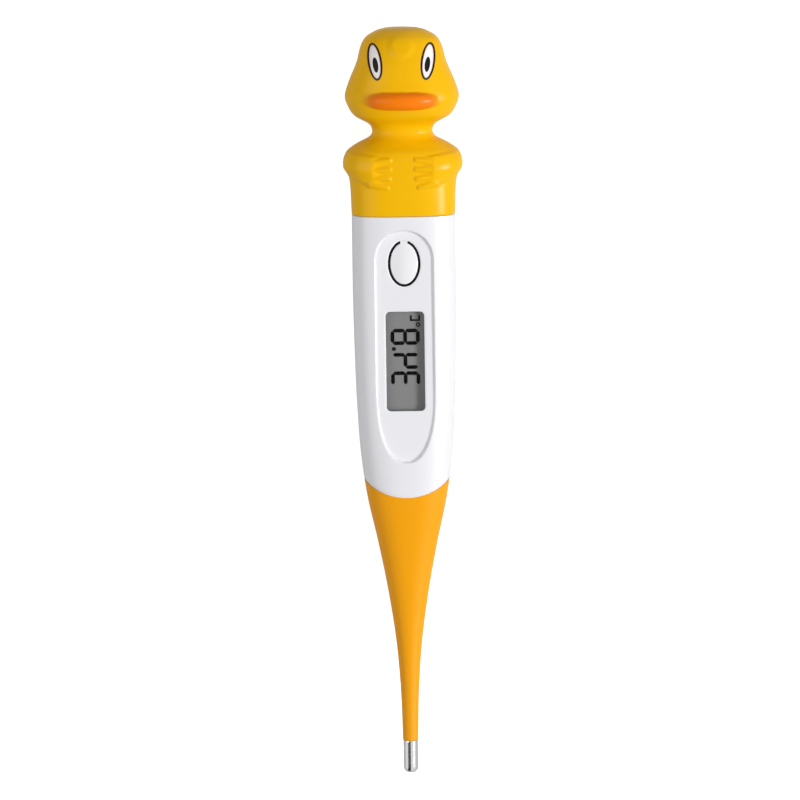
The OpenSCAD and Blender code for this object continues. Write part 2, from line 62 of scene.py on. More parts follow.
shell_low, shell_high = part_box("body_shell")
spigot_long = 0.0028
seam_y, nose_y = shell_high.y, shell_low.y + spigot_long
stem_end_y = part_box("stem_link_8")[0].y
axis_z = hinges["stem_side_1"]["pos_m"][2]
body_half, body_rise = shell_high.x, shell_high.z - axis_z
stem_r = 0.00153
nose_bow_r = 0.0124
panel_z = shell_high.z - 0.0009
panel_half, panel_round_y, panel_long, panel_low_y = 0.00585, 0.02935, 0.014, 0.0024
window_half_x, window_half_y, window_y, window_r = 0.00385, 0.010, 0.0088, 0.0009
slot_half_x, slot_half_y, button_y = 0.00325, 0.00465, 0.02845
neck_half = 0.00073


def share_y(share):
    """A height on the body, 0 at the nose and 1 at the cap, or on the stem, 0 to -1."""
    return nose_y + share * ((seam_y - nose_y) if share >= 0 else (nose_y - stem_end_y))


TAPER = [
    (share_y(-1.0), 0, 0), (share_y(-0.8), 0.032, 0.058), (share_y(-0.6), 0.118, 0.18),
    (share_y(-0.4), 0.277, 0.36), (share_y(-0.2), 0.49, 0.575), (share_y(0.0), 0.735, 0.815),
    (share_y(0.16), 0.872, 0.965), (share_y(0.33), 0.94, 1), (share_y(0.5), 0.975, 1),
    (share_y(0.72), 1, 1), (share_y(1.0), 1, 1),
]


def smooth_line(at, table, column):
    """A smooth curve through one column of a table, read at the places in its first column."""
    xs = np.array([row[0] for row in table], float)
    vs = np.array([row[column] for row in table], float)
    slope = np.empty_like(vs)
    slope[1:-1] = (vs[2:] - vs[:-2]) / (xs[2:] - xs[:-2])
    slope[0], slope[-1] = (vs[1] - vs[0]) / (xs[1] - xs[0]), (vs[-1] - vs[-2]) / (xs[-1] - xs[-2])
    k = np.clip(np.searchsorted(xs, at) - 1, 0, len(xs) - 2)
    step = xs[k + 1] - xs[k]
    t = np.clip((at - xs[k]) / step, 0, 1)
    return (
        (2 * t**3 - 3 * t**2 + 1) * vs[k] + (t**3 - 2 * t**2 + t) * step * slope[k]
        + (3 * t**2 - 2 * t**3) * vs[k + 1] + (t**3 - t**2) * step * slope[k + 1]
    )


def outline_at(y):
    """Half width, half depth and squareness of the body or stem at a height."""
    wide = smooth_line(y, TAPER, 1)
    deep = smooth_line(y, TAPER, 2)
    return stem_r + (body_half - stem_r) * wide, stem_r + (body_rise - stem_r) * deep, 2 + wide


def squared(value, power):
    return np.sign(value) * np.abs(value) ** (2 / power)


def ease(t):
    t = np.clip(t, 0, 1)
    return t * t * (3 - 2 * t)


def skin(name, rings, keep=None, start_pole=None, end_pole=None):
    """A surface through rings of points, closed round each ring, with a centre point at a closed end."""
    rows, cols = rings.shape[:2]
    points = [tuple(p) for p in rings.reshape(-1, 3)]
    faces = []
    for j in range(rows - 1):
        for i in range(cols):
            if keep is None or keep[j, i]:
                n = (i + 1) % cols
                faces.append((j * cols + i, j * cols + n, (j + 1) * cols + n, (j + 1) * cols + i))
    for pole, j in ((start_pole, 0), (end_pole, rows - 1)):
        if pole is not None:
            points.append(tuple(pole))
            for i in range(cols):
                n = (i + 1) % cols
                a, b = j * cols + i, j * cols + n
                faces.append((b, a, len(points) - 1) if j == 0 else (a, b, len(points) - 1))
    mesh = bpy.data.meshes.new(name)
    mesh.from_pydata(points, [], faces)
    work = bmesh.new()
    work.from_mesh(mesh)
    bmesh.ops.delete(work, geom=[v for v in work.verts if not v.link_faces], context="VERTS")
    bmesh.ops.remove_doubles(work, verts=work.verts, dist=1e-8)
    work.normal_update()
    middle = Vector(rings.reshape(-1, 3).mean(0))
    inside_out = sum(f.normal.dot(f.calc_center_median() - middle) * f.calc_area() for f in work.faces)
    if inside_out < 0:
        bmesh.ops.reverse_faces(work, faces=work.faces)
    work.to_mesh(mesh)
    work.free()
    return place(name, mesh)


def place(name, mesh):
    piece = bpy.data.objects.new(name, mesh)
    bpy.context.scene.collection.objects.link(piece)
    return piece


def settle(piece, sharp_deg=40):
    """Makes the modified shape the piece's own mesh, smooth with crisp edges."""
    bpy.context.view_layer.update()
    mesh = bpy.data.meshes.new_from_object(piece.evaluated_get(bpy.context.evaluated_depsgraph_get()))
    mesh.name = piece.name
    piece.modifiers.clear()
    piece.data = mesh
    mesh.shade_smooth()
    mesh.set_sharp_from_angle(angle=math.radians(sharp_deg))
    return piece


def panel_edge(x, y):
    """Distance outside the sunk panel's outline, negative within it."""
    top = np.hypot(x, y - panel_round_y) - panel_half
    side = np.abs(x) - panel_half
    k = (np.abs(x / panel_half) ** 2.3 + np.abs((y - panel_low_y) / panel_long) ** 2.3) ** (1 / 2.3)
    low = (k - 1) / np.maximum(np.hypot(x / panel_half**2, (y - panel_low_y) / panel_long**2), 1e-9)
    return np.where(y > panel_round_y, top, np.where(y > panel_low_y, side, low))


def window_edge(x, y):
    qx, qy = np.abs(x) - window_half_x + window_r, np.abs(y - window_y) - window_half_y + window_r
    return np.hypot(np.maximum(qx, 0), np.maximum(qy, 0)) + np.minimum(np.maximum(qx, qy), 0) - window_r


def slot_edge(x, y):
    """Distance outside the oval opening round the button."""
    k = np.maximum(np.hypot(x / slot_half_x, (y - button_y) / slot_half_y), 1e-6)
    return k * (k - 1) / np.maximum(np.hypot(x / slot_half_x**2, (y - button_y) / slot_half_y**2), 1e-6)


def openings(x, y):
    return np.minimum(window_edge(x, y), slot_edge(x, y))


front_x = np.linspace(-0.0066, 0.0066, 84)
back_x = np.linspace(0.0066, -0.0066, 14)[1:-1]
side_turn = np.linspace(1, -1, 30)[1:-1]
rows_y = np.concatenate([
    np.linspace(nose_y, -0.0128, 16)[:-1],
    np.linspace(-0.0128, 0.0362, 290),
    np.linspace(0.0362, seam_y - 0.0001, 9)[1:],
    [seam_y - 0.00003],
])


def body_ring(y_row, lift):
    """One ring of the outer surface. Near the nose it follows the bowed seam against the stem."""
    y = np.full(len(front_x) + len(back_x) + 2 * len(side_turn), y_row)
    for _ in range(8):
        half, rise, power = outline_at(y)
        turn = np.arccos(np.clip((0.0066 / half) ** (power / 2), 0, 1))
        f, b, s = len(front_x), len(back_x), len(side_turn)
        right = turn[f:f + s] * side_turn
        left = -turn[f + s + b:] * side_turn
        x = np.concatenate([front_x, half[f:f + s] * squared(np.cos(right), power[f:f + s]),
                            back_x, -half[f + s + b:] * squared(np.cos(left), power[f + s + b:])])
        z_flat = rise * np.maximum(1 - (np.abs(x) / half) ** power, 0) ** (1 / power)
        z = np.concatenate([z_flat[:f], rise[f:f + s] * squared(np.sin(right), power[f:f + s]),
                            -z_flat[f + s:f + s + b], rise[f + s + b:] * squared(np.sin(left), power[f + s + b:])])
        bow = nose_bow_r - np.sqrt(np.maximum(nose_bow_r**2 - x**2, 0))
        y = y_row + lift * bow
    return x, y, np.maximum(axis_z + z, 0)


rings = []
for y_row in rows_y:
    lift = ease(1 - (y_row - nose_y) / (-0.0092 - nose_y)) if y_row < -0.0092 else 0
    x, y, z = body_ring(y_row, lift)
    rings.append(np.stack([x, y, z], axis=1))
shell = np.array(rings)
for row, inset in ((0, 0.00012), (1, 0.00002), (len(shell) - 1, 0.00012), (len(shell) - 2, 0.00003)):
    shell[row, :, 0] *= 1 - inset / body_half
    shell[row, :, 2] = axis_z + (shell[row, :, 2] - axis_z) * (1 - inset / body_rise)
x, y, z = shell[..., 0], shell[..., 1], shell[..., 2]
front = z > axis_z + 0.001
wall = ease((panel_edge(x, y) + 0.00036) / 0.00046)
z[front] = (np.minimum(z, panel_z) * (1 - wall) + z * wall)[front]
hole = np.where(front, openings(x, y), 1)
middle = (hole[:-1] + hole[1:] + np.roll(hole, -1, 1)[:-1] + np.roll(hole, -1, 1)[1:]) / 4
kept = middle > 0
corner_kept = np.zeros(hole.shape, int)
for j_shift in (0, 1):
    for i_shift in (0, 1):
        corner_kept[j_shift:len(hole) - 1 + j_shift] += np.roll(kept, i_shift, 1)
rim = (corner_kept > 0) & (corner_kept < 4) & front
rim[0] = rim[-1] = False
for _ in range(4):
    d = 1e-6
    off = openings(x, y)
    slope_x = (openings(x + d, y) - openings(x - d, y)) / (2 * d)
    slope_y = (openings(x, y + d) - openings(x, y - d)) / (2 * d)
    steep = np.maximum(slope_x**2 + slope_y**2, 0.2)
    x[rim] -= (off * slope_x / steep)[rim]
    y[rim] -= (off * slope_y / steep)[rim]
at_neck = (np.abs(x) < neck_half + 0.0001) & (y > button_y + 0.9 * slot_half_y)
z[rim & ~at_neck] -= 0.00009
near = front & ~rim & ~at_neck & (openings(x, y) < 0.00022)
z[near] -= 0.00002
body = skin("shell_moulding", shell, keep=kept)
thickness = body.vertex_groups.new(name="wall")
for v in body.data.vertices:
    sunk = v.co.z > axis_z and panel_edge(np.array(v.co.x), np.array(v.co.y)) < 0.0006
    thickness.add([v.index], 0.68 if sunk else 1.0, "REPLACE")
solid = body.modifiers.new("wall", "SOLIDIFY")
solid.thickness, solid.offset, solid.vertex_group = 0.0013, -1, "wall"
settle(body, 34)


def reckon(tree, operation, *terms):
    """One sum in a node tree, from numbers or sockets."""
    node = tree.nodes.new("ShaderNodeMath")
    node.operation = operation
    for socket, term in zip(node.inputs, terms):
        if isinstance(term, (int, float)):
            socket.default_value = term
        else:
            tree.links.new(term, socket)
    return node.outputs[0]


def paint(red, green, blue):
    """A colour as it looks, 0 to 255, made linear."""
    return tuple(((c / 255 + 0.055) / 1.055) ** 2.4 if c > 10 else c / 255 / 12.92 for c in (red, green, blue)) + (1,)


def node_group(name, given, made):
    group = bpy.data.node_groups.new(name, "ShaderNodeTree")
    for label, kind, value in given:
        socket = group.interface.new_socket(label, in_out="INPUT", socket_type=kind)
        socket.default_value = value
    for label, kind in made:
        group.interface.new_socket(label, in_out="OUTPUT", socket_type=kind)
    return group, group.nodes.new("NodeGroupInput").outputs, group.nodes.new("NodeGroupOutput").inputs


# The skin of every moulded piece: a slow drift of shade, a fine grain and a roughness that follows it.
moulded_skin, given, made = node_group(
    "moulded_skin",
    [("Colour", "NodeSocketColor", (1, 1, 1, 1)), ("Drift", "NodeSocketFloat", 0.04),
     ("Grain Size", "NodeSocketFloat", 0.0003), ("Grain Height", "NodeSocketFloat", 0.00001),
     ("Roughness", "NodeSocketFloat", 0.4), ("Spread", "NodeSocketFloat", 0.06)],
    [("Colour", "NodeSocketColor"), ("Roughness", "NodeSocketFloat"), ("Normal", "NodeSocketVector")],
)
link = moulded_skin.links.new
place_on = moulded_skin.nodes.new("ShaderNodeTexCoord").outputs["Object"]
cloud = moulded_skin.nodes.new("ShaderNodeTexNoise")
cloud.inputs["Scale"].default_value = 160
cloud.inputs["Detail"].default_value = 3
grain = moulded_skin.nodes.new("ShaderNodeTexNoise")
grain.inputs["Detail"].default_value = 2
link(place_on, cloud.inputs["Vector"])
link(place_on, grain.inputs["Vector"])
link(reckon(moulded_skin, "DIVIDE", 1, given["Grain Size"]), grain.inputs["Scale"])
shade = moulded_skin.nodes.new("ShaderNodeMix")
shade.data_type, shade.blend_type = "RGBA", "MULTIPLY"
link(reckon(moulded_skin, "MULTIPLY", given["Drift"], cloud.outputs["Fac"]), shade.inputs["Factor"])
link(given["Colour"], shade.inputs["A"])
shade.inputs["B"].default_value = (0.55, 0.55, 0.58, 1)
link(shade.outputs["Result"], made["Colour"])
mottled = reckon(moulded_skin, "MULTIPLY", reckon(moulded_skin, "SUBTRACT", grain.outputs["Fac"], 0.5), given["Spread"])
link(reckon(moulded_skin, "ADD", mottled, given["Roughness"]), made["Roughness"])
relief = moulded_skin.nodes.new("ShaderNodeBump")
relief.inputs["Strength"].default_value = 1
link(given["Grain Height"], relief.inputs["Distance"])
link(grain.outputs["Fac"], relief.inputs["Height"])
link(relief.outputs["Normal"], made["Normal"])


def new_material(name):
    material = bpy.data.materials.new(name)
    material.use_nodes = True
    return material, material.node_tree, material.node_tree.nodes["Principled BSDF"]


def moulded(name, colour, rough, drift=0.05, grain_mm=0.3, height_mm=0.004, spread=0.08, **sockets):
    """A moulded plastic or rubber, with any further shader values set on the shader itself."""
    material, tree, shader = new_material(name)
    finish = tree.nodes.new("ShaderNodeGroup")
    finish.node_tree = moulded_skin
    for label, value in (("Colour", colour), ("Drift", drift), ("Grain Size", grain_mm / 1000),
                         ("Grain Height", height_mm / 1000), ("Roughness", rough), ("Spread", spread)):
        finish.inputs[label].default_value = value
    tree.links.new(finish.outputs["Colour"], shader.inputs["Base Color"])
    tree.links.new(finish.outputs["Roughness"], shader.inputs["Roughness"])
    tree.links.new(finish.outputs["Normal"], shader.inputs["Normal"])
    for label, value in sockets.items():
        shader.inputs[label.replace("_", " ")].default_value = value
    return material


def wear(piece, material):
    piece.data.materials.clear()
    piece.data.materials.append(material)


white_abs = moulded("white_abs", paint(238, 238, 242), 0.34, drift=0.02, grain_mm=0.35, height_mm=0.0015)
wear(body, white_abs)
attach(body, "body")
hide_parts("body_shell")

# ---- Power button ---------------------------------------------------------------------------------
# The button is a low oval dome in the same white ABS, on a thin neck at its top that flexes when it is
# pressed. A web under the slot seals it. Its near-black colour is partly painted shade, standing in for
# the shade in the gap round the button.

button_half_x, button_half_y, button_dome = 0.00275, 0.00415, 0.00035
neck_gap = 0.000012
around = np.radians(np.linspace(0, 360, 1081)[:-1])
oval_r = button_half_x * button_half_y / np.hypot(button_half_y * np.cos(around), button_half_x * np.sin(around))
slot_r = slot_half_x * slot_half_y / np.hypot(slot_half_y * np.cos(around), slot_half_x * np.sin(around))
neck_r = np.where(np.sin(around) > 0, np.minimum(slot_r - neck_gap, neck_half / np.maximum(np.abs(np.cos(around)), 1e-6)), 0)
edge_r = np.maximum(oval_r, neck_r)


def button_ring(share, drop, inset=0.0, flat=None):
    r = (edge_r - inset) * share
    x, y = r * np.cos(around), r * np.sin(around)
    oval = np.minimum((x / button_half_x) ** 2 + (y / button_half_y) ** 2, 1)
    z = panel_z + 0.00001 + button_dome * (1 - oval) - drop if flat is None else np.full_like(x, flat)
    return np.stack([x, button_y + y, z], axis=1)


dome = [button_ring(s, 0) for s in np.linspace(0.04, 0.94, 26)]
dome += [button_ring(1, 0, 0.00012), button_ring(1, 0.00002, 0.00005), button_ring(1, 0.00006, 0.00001)]
dome += [button_ring(1, 0.00014), button_ring(1, 0.0004, 0.00001), button_ring(0.7, 0, flat=panel_z - 0.0007)]
button = skin("button_moulding", np.array(dome),
              start_pole=(0, button_y, panel_z + button_dome), end_pole=(0, button_y, panel_z - 0.0007))
button = settle(button, 50)
button_abs = moulded("button_abs", paint(240, 240, 243), 0.3, drift=0.02, grain_mm=0.3, height_mm=0.0012)
wear(button, button_abs)
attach(button, "button")
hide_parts("power_button")


def dress(material, *names):
    """Gives a CAD piece whose shape is right its real finish."""
    for name in names:
        piece = nodes[name]
        if not piece.material_slots:
            piece.data.materials.append(material)
        for holder in piece.material_slots:
            holder.material = material


# The web's near-black is partly painted shade: seen through the slot, it darkens the gap round the button.
dress(moulded("black_silicone", paint(22, 22, 24), 0.62, drift=0.2, grain_mm=0.12, height_mm=0.006), "button_seal")

# ---- Window lens ----------------------------------------------------------------------------------
# The window is a clear acrylic plate, snapped in under the panel, flat on both faces and very glossy.
# Light has to pass it to reach the display, so its shadow is let through.

lens, lens_tree, lens_shader = new_material("clear_lens")
lens_shader.inputs["Transmission Weight"].default_value = 1
lens_shader.inputs["IOR"].default_value = 1.15
swirl = lens_tree.nodes.new("ShaderNodeTexNoise")
swirl.inputs["Scale"].default_value = 900
lens_tree.links.new(lens_tree.nodes.new("ShaderNodeTexCoord").outputs["Object"], swirl.inputs["Vector"])
lens_tree.links.new(reckon(lens_tree, "MULTIPLY", swirl.outputs["Fac"], 0.008), lens_shader.inputs["Roughness"])
tint = lens_tree.nodes.new("ShaderNodeMix")
tint.data_type = "RGBA"
tint.inputs["A"].default_value, tint.inputs["B"].default_value = (0.97, 0.97, 0.97, 1), (0.94, 0.94, 0.95, 1)
lens_tree.links.new(swirl.outputs["Fac"], tint.inputs["Factor"])
lens_tree.links.new(tint.outputs["Result"], lens_shader.inputs["Base Color"])
passing = lens_tree.nodes.new("ShaderNodeMixShader")
light_path = lens_tree.nodes.new("ShaderNodeLightPath")
clear = lens_tree.nodes.new("ShaderNodeBsdfTransparent")
clear.inputs["Color"].default_value = (0.96, 0.96, 0.96, 1)
lens_tree.links.new(
    reckon(lens_tree, "MAXIMUM", light_path.outputs["Is Shadow Ray"], light_path.outputs["Is Diffuse Ray"]),
    passing.inputs["Fac"])
lens_tree.links.new(lens_shader.outputs["BSDF"], passing.inputs[1])
lens_tree.links.new(clear.outputs["BSDF"], passing.inputs[2])
lens_tree.links.new(passing.outputs["Shader"], lens_tree.nodes["Material Output"].inputs["Surface"])
dress(lens, "window_lens")

# ---- Display --------------------------------------------------------------------------------------
# The display is a grey liquid crystal glass on rubber contact strips. It shows the reading 34.8 and the
# sign for degrees Celsius along the body. Each dark segment is a bar with mitred ends.

glass_low, glass_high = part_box("lcd_panel")
lcd_grey = moulded("lcd_glass", paint(143, 143, 143), 0.3, drift=0.1, grain_mm=0.5, height_mm=0.0004, spread=0.05,
                   Specular_IOR_Level=0.0)
dress(lcd_grey, "lcd_panel")

segment_wide, digit_half = 0.00074, 0.0029
bar_long = 0.0024


def flat_piece(name, outline, z_low, z_high):
    """A thin plate with a stated outline."""
    work = bmesh.new()
    face = work.faces.new([work.verts.new((x, y, z_low)) for x, y in outline])
    face.normal_update()
    if face.normal.z > 0:
        face.normal_flip()
    raised = bmesh.ops.extrude_face_region(work, geom=[face])
    for v in raised["geom"]:
        if isinstance(v, bmesh.types.BMVert):
            v.co.z = z_high
    bmesh.ops.recalc_face_normals(work, faces=work.faces)
    mesh = bpy.data.meshes.new(name)
    work.to_mesh(mesh)
    work.free()
    return place(name, mesh)


half, tip = segment_wide / 2, bar_long / 2
bar = flat_piece("segment_bar", [(-tip, 0), (-tip + half, -half), (tip - half, -half),
                                 (tip, 0), (tip - half, half), (-tip + half, half)], 0, 0.00002)

# Each row is a digit: its lower and upper edge along the body, and the bars that are lit. A bar is named
# by the edge it lies on and by the side of the digit, or by the place of a bar that joins the two edges.
DIGITS = [
    (0.01194, 0.0152, "upper_left upper_right lower_left lower_right left middle right"),
    (0.0071, 0.01034, "upper_left upper_right lower_right middle"),
    (0.00359, 0.00663, "upper_left upper_right left middle right"),
]
spots, turns, lengths = [], [], []
reach_x = digit_half - half
for low, high, lit in DIGITS:
    for word in lit.split():
        edge, _, side = word.partition("_")
        if side:
            spots.append(((-0.5 if side == "left" else 0.5) * reach_x, high - half if edge == "upper" else low + half))
            turns.append(0.0)
            lengths.append((reach_x - 0.00008) / bar_long)
        else:
            spots.append(({"left": -1, "middle": 0, "right": 1}[edge] * reach_x, (low + high) / 2))
            turns.append(math.pi / 2)
            lengths.append((high - low - segment_wide - 0.00008) / bar_long)
small = 0.00036
c_left, c_right, c_low, c_high = 0.001, 0.00302, 0.01672, 0.01788
seeds = bpy.data.meshes.new("segment_places")
seeds.from_pydata([(x, y, glass_high.z + 0.00001) for x, y in spots], [], [])
for label, values in (("turn", turns), ("reach", lengths)):
    seeds.attributes.new(label, "FLOAT", "POINT").data.foreach_set("value", values)
reading = place("display_reading", seeds)

segment_tree = bpy.data.node_groups.new("segment_layout", "GeometryNodeTree")
for label, kind in (("Places", "NodeSocketGeometry"), ("Bar", "NodeSocketObject"),
                    ("Thickness", "NodeSocketFloat"), ("Ink", "NodeSocketMaterial")):
    segment_tree.interface.new_socket(label, in_out="INPUT", socket_type=kind)
segment_tree.interface.new_socket("Segments", in_out="OUTPUT", socket_type="NodeSocketGeometry")


def named(tree, label, kind="FLOAT"):
    node = tree.nodes.new("GeometryNodeInputNamedAttribute")
    node.data_type = kind
    node.inputs["Name"].default_value = label
    return node.outputs["Attribute"]


given = segment_tree.nodes.new("NodeGroupInput").outputs
join = segment_tree.links.new
bar_info = segment_tree.nodes.new("GeometryNodeObjectInfo")
join(given["Bar"], bar_info.inputs["Object"])
lay = segment_tree.nodes.new("GeometryNodeInstanceOnPoints")
join(given["Places"], lay.inputs["Points"])
join(bar_info.outputs["Geometry"], lay.inputs["Instance"])
turned = segment_tree.nodes.new("ShaderNodeCombineXYZ")
join(named(segment_tree, "turn"), turned.inputs["Z"])
join(turned.outputs["Vector"], lay.inputs["Rotation"])
sized = segment_tree.nodes.new("ShaderNodeCombineXYZ")
sized.inputs["Y"].default_value = 1
join(named(segment_tree, "reach"), sized.inputs["X"])
join(given["Thickness"], sized.inputs["Z"])
join(sized.outputs["Vector"], lay.inputs["Scale"])
real = segment_tree.nodes.new("GeometryNodeRealizeInstances")
join(lay.outputs["Instances"], real.inputs["Geometry"])
inked = segment_tree.nodes.new("GeometryNodeSetMaterial")
join(real.outputs["Geometry"], inked.inputs["Geometry"])
join(given["Ink"], inked.inputs["Material"])
join(inked.outputs["Geometry"], segment_tree.nodes.new("NodeGroupOutput").inputs["Segments"])

lcd_ink = moulded("lcd_ink", paint(6, 6, 7), 0.35, drift=0.15, grain_mm=0.4, height_mm=0.0003,
                  Specular_IOR_Level=0.0)


def grow(piece, tree, **values):
    """Runs a geometry tree on a piece with its named inputs set, and keeps the result as its mesh."""
    modifier = piece.modifiers.new(tree.name, "NODES")
    modifier.node_group = tree
    for item in tree.interface.items_tree:
        label = item.name.replace(" ", "_")
        if item.in_out == "INPUT" and label in values:
            modifier[item.identifier] = values[label]
    bpy.context.view_layer.update()
    mesh = bpy.data.meshes.new_from_object(piece.evaluated_get(bpy.context.evaluated_depsgraph_get()))
    mesh.name = piece.name
    piece.modifiers.clear()
    piece.data = mesh
    return piece


grow(reading, segment_tree, Bar=bar, Thickness=1.0, Ink=lcd_ink)
bpy.data.objects.remove(bar)
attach(reading, "body")

dot_ring = [(-0.00228 + 0.0004 * math.cos(a), 0.01115 + 0.0004 * math.sin(a)) for a in np.linspace(0, 2 * math.pi, 41)[:-1]]
unit_c = [(c_left, c_high), (c_left, c_low), (c_right, c_low), (c_right, c_high), (c_right - small, c_high),
          (c_right - small, c_low + small), (c_left + small, c_low + small), (c_left + small, c_high)]
ink_z = (glass_high.z + 0.00001, glass_high.z + 0.00003)
circle = np.linspace(0, math.tau, 41)[:-1]
ring_edges = ((0.0002, ink_z[0]), (0.00045, ink_z[0]), (0.00045, ink_z[1]), (0.0002, ink_z[1]), (0.0002, ink_z[0]))
degree_ring = skin("degree_ring", np.array([
    np.stack([0.0026 + r * np.cos(circle), 0.016 + r * np.sin(circle), np.full(40, z_at)], axis=1)
    for r, z_at in ring_edges]))
for mark in (flat_piece("decimal_point", dot_ring, *ink_z), flat_piece("unit_letter", unit_c, *ink_z), degree_ring):
    wear(mark, lcd_ink)
    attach(mark, "body")

# ---- Flexible stem --------------------------------------------------------------------------------
# The stem is one sleeve of soft orange rubber, moulded over the body's spigot and the two lead wires.
# It narrows from the body's oval to a thin round neck, in lengths that meet halfway between the hinges.

hinge_y = [hinges[name]["pos_m"][1] for name in sorted(
    (n for n in hinges if n.startswith("stem_")), key=lambda n: int(n[-1]))]
middle_y = [(hinge_y[0] + nose_y) / 2] + [
    (a + b) / 2 for a, b in zip(hinge_y, hinge_y[1:])] + [(hinge_y[-1] + stem_end_y) / 2]

sleeve_tree = bpy.data.node_groups.new("tapered_sleeve", "GeometryNodeTree")
for label, kind in (("Spine", "NodeSocketGeometry"), ("Around", "NodeSocketInt"), ("Axis Height", "NodeSocketFloat"),
                    ("Seam Radius", "NodeSocketFloat"), ("Seam Centre", "NodeSocketFloat"),
                    ("Rubber", "NodeSocketMaterial")):
    sleeve_tree.interface.new_socket(label, in_out="INPUT", socket_type=kind)
sleeve_tree.interface.new_socket("Sleeve", in_out="OUTPUT", socket_type="NodeSocketGeometry")
given = sleeve_tree.nodes.new("NodeGroupInput").outputs
join = sleeve_tree.links.new
count = sleeve_tree.nodes.new("GeometryNodeAttributeDomainSize")
join(given["Spine"], count.inputs["Geometry"])
rows_out = count.outputs["Point Count"]
sheet = sleeve_tree.nodes.new("GeometryNodeMeshGrid")
join(reckon(sleeve_tree, "ADD", given["Around"], 1), sheet.inputs["Vertices X"])
join(rows_out, sheet.inputs["Vertices Y"])
index = sleeve_tree.nodes.new("GeometryNodeInputIndex").outputs["Index"]
row = reckon(sleeve_tree, "MODULO", index, rows_out)
column = reckon(sleeve_tree, "FLOOR", reckon(sleeve_tree, "DIVIDE", reckon(sleeve_tree, "ADD", index, 0.5), rows_out))
turn = reckon(sleeve_tree, "DIVIDE", reckon(sleeve_tree, "MULTIPLY", column, math.tau), given["Around"])


def spine_value(label, kind="FLOAT"):
    node = sleeve_tree.nodes.new("GeometryNodeSampleIndex")
    node.data_type = kind
    join(given["Spine"], node.inputs["Geometry"])
    join(row, node.inputs["Index"])
    join(named(sleeve_tree, label), node.inputs["Value"])
    return node.outputs["Value"]


exponent = reckon(sleeve_tree, "DIVIDE", 2, spine_value("power"))


def oval_side(circle, size):
    """One coordinate of the squared oval: the circle's sine or cosine with its size to the exponent."""
    side = reckon(sleeve_tree, circle, turn)
    swollen = reckon(sleeve_tree, "POWER", reckon(sleeve_tree, "ABSOLUTE", side), exponent)
    return reckon(sleeve_tree, "MULTIPLY", reckon(sleeve_tree, "MULTIPLY", swollen, reckon(sleeve_tree, "SIGN", side)),
                  spine_value(size))


spot = sleeve_tree.nodes.new("ShaderNodeCombineXYZ")
join(oval_side("COSINE", "half_w"), spot.inputs["X"])
join(spine_value("along"), spot.inputs["Y"])
join(reckon(sleeve_tree, "MAXIMUM", 0.0, reckon(sleeve_tree, "ADD", given["Axis Height"], oval_side("SINE", "half_d"))),
     spot.inputs["Z"])
shaped = sleeve_tree.nodes.new("GeometryNodeSetPosition")
join(sheet.outputs["Mesh"], shaped.inputs["Geometry"])
join(spot.outputs["Vector"], shaped.inputs["Position"])
closed = sleeve_tree.nodes.new("GeometryNodeMergeByDistance")
join(shaped.outputs["Geometry"], closed.inputs["Geometry"])
closed.inputs["Distance"].default_value = 1e-6
cutter = sleeve_tree.nodes.new("GeometryNodeMeshCylinder")
cutter.inputs["Vertices"].default_value = 720
cutter.inputs["Depth"].default_value = 0.04
join(given["Seam Radius"], cutter.inputs["Radius"])
moved = sleeve_tree.nodes.new("GeometryNodeTransform")
shift = sleeve_tree.nodes.new("ShaderNodeCombineXYZ")
join(given["Seam Centre"], shift.inputs["Y"])
join(cutter.outputs["Mesh"], moved.inputs["Geometry"])
join(shift.outputs["Vector"], moved.inputs["Translation"])
trimmed = sleeve_tree.nodes.new("GeometryNodeMeshBoolean")
trimmed.operation = "DIFFERENCE"
trimmed.solver = "EXACT"
join(closed.outputs["Geometry"], trimmed.inputs["Mesh 1"])
join(moved.outputs["Geometry"], trimmed.inputs["Mesh 2"])
real = sleeve_tree.nodes.new("GeometryNodeRealizeInstances")
join(trimmed.outputs["Mesh"], real.inputs["Geometry"])
coloured = sleeve_tree.nodes.new("GeometryNodeSetMaterial")
join(real.outputs["Geometry"], coloured.inputs["Geometry"])
join(given["Rubber"], coloured.inputs["Material"])
join(coloured.outputs["Geometry"], sleeve_tree.nodes.new("NodeGroupOutput").inputs["Sleeve"])

orange_tpe = moulded("orange_tpe", paint(250, 167, 0), 0.42, drift=0.06, grain_mm=0.22, height_mm=0.003,
                     spread=0.1, Specular_IOR_Level=0.22)


def sleeve_piece(name, top, bottom):
    """A closed length of the sleeve. Its end discs are a little flatter than a point, so both ends close."""
    steps = max(int((top - bottom) / 0.00022), 8)
    y = np.linspace(top, bottom, steps)
    half, rise, power = outline_at(y)
    share = np.array([0.0, 0.5])
    ends = [(0, top, share), (-1, bottom, share[::-1])]
    y = np.concatenate([[top] * 2, y, [bottom] * 2])
    half = np.concatenate([half[0] * share, half, half[-1] * share[::-1]])
    rise = np.concatenate([rise[0] * share, rise, rise[-1] * share[::-1]])
    power = np.concatenate([[power[0]] * 2, power, [power[-1]] * 2])
    spine = bpy.data.meshes.new(name)
    spine.from_pydata([(0, at, axis_z) for at in y], [], [])
    for label, values in (("along", y), ("half_w", half), ("half_d", rise), ("power", power)):
        spine.attributes.new(label, "FLOAT", "POINT").data.foreach_set("value", values.astype(np.float32))
    piece = grow(place(name, spine), sleeve_tree, Around=144, Axis_Height=axis_z, Seam_Radius=nose_bow_r,
                 Seam_Centre=nose_y + nose_bow_r, Rubber=orange_tpe)
    mesh = piece.data
    work = bmesh.new()
    work.from_mesh(mesh)
    bmesh.ops.remove_doubles(work, verts=work.verts, dist=1e-7)
    bmesh.ops.recalc_face_normals(work, faces=work.faces)
    work.to_mesh(mesh)
    work.free()
    mesh.shade_smooth()
    mesh.set_sharp_from_angle(angle=math.radians(40))
    return piece


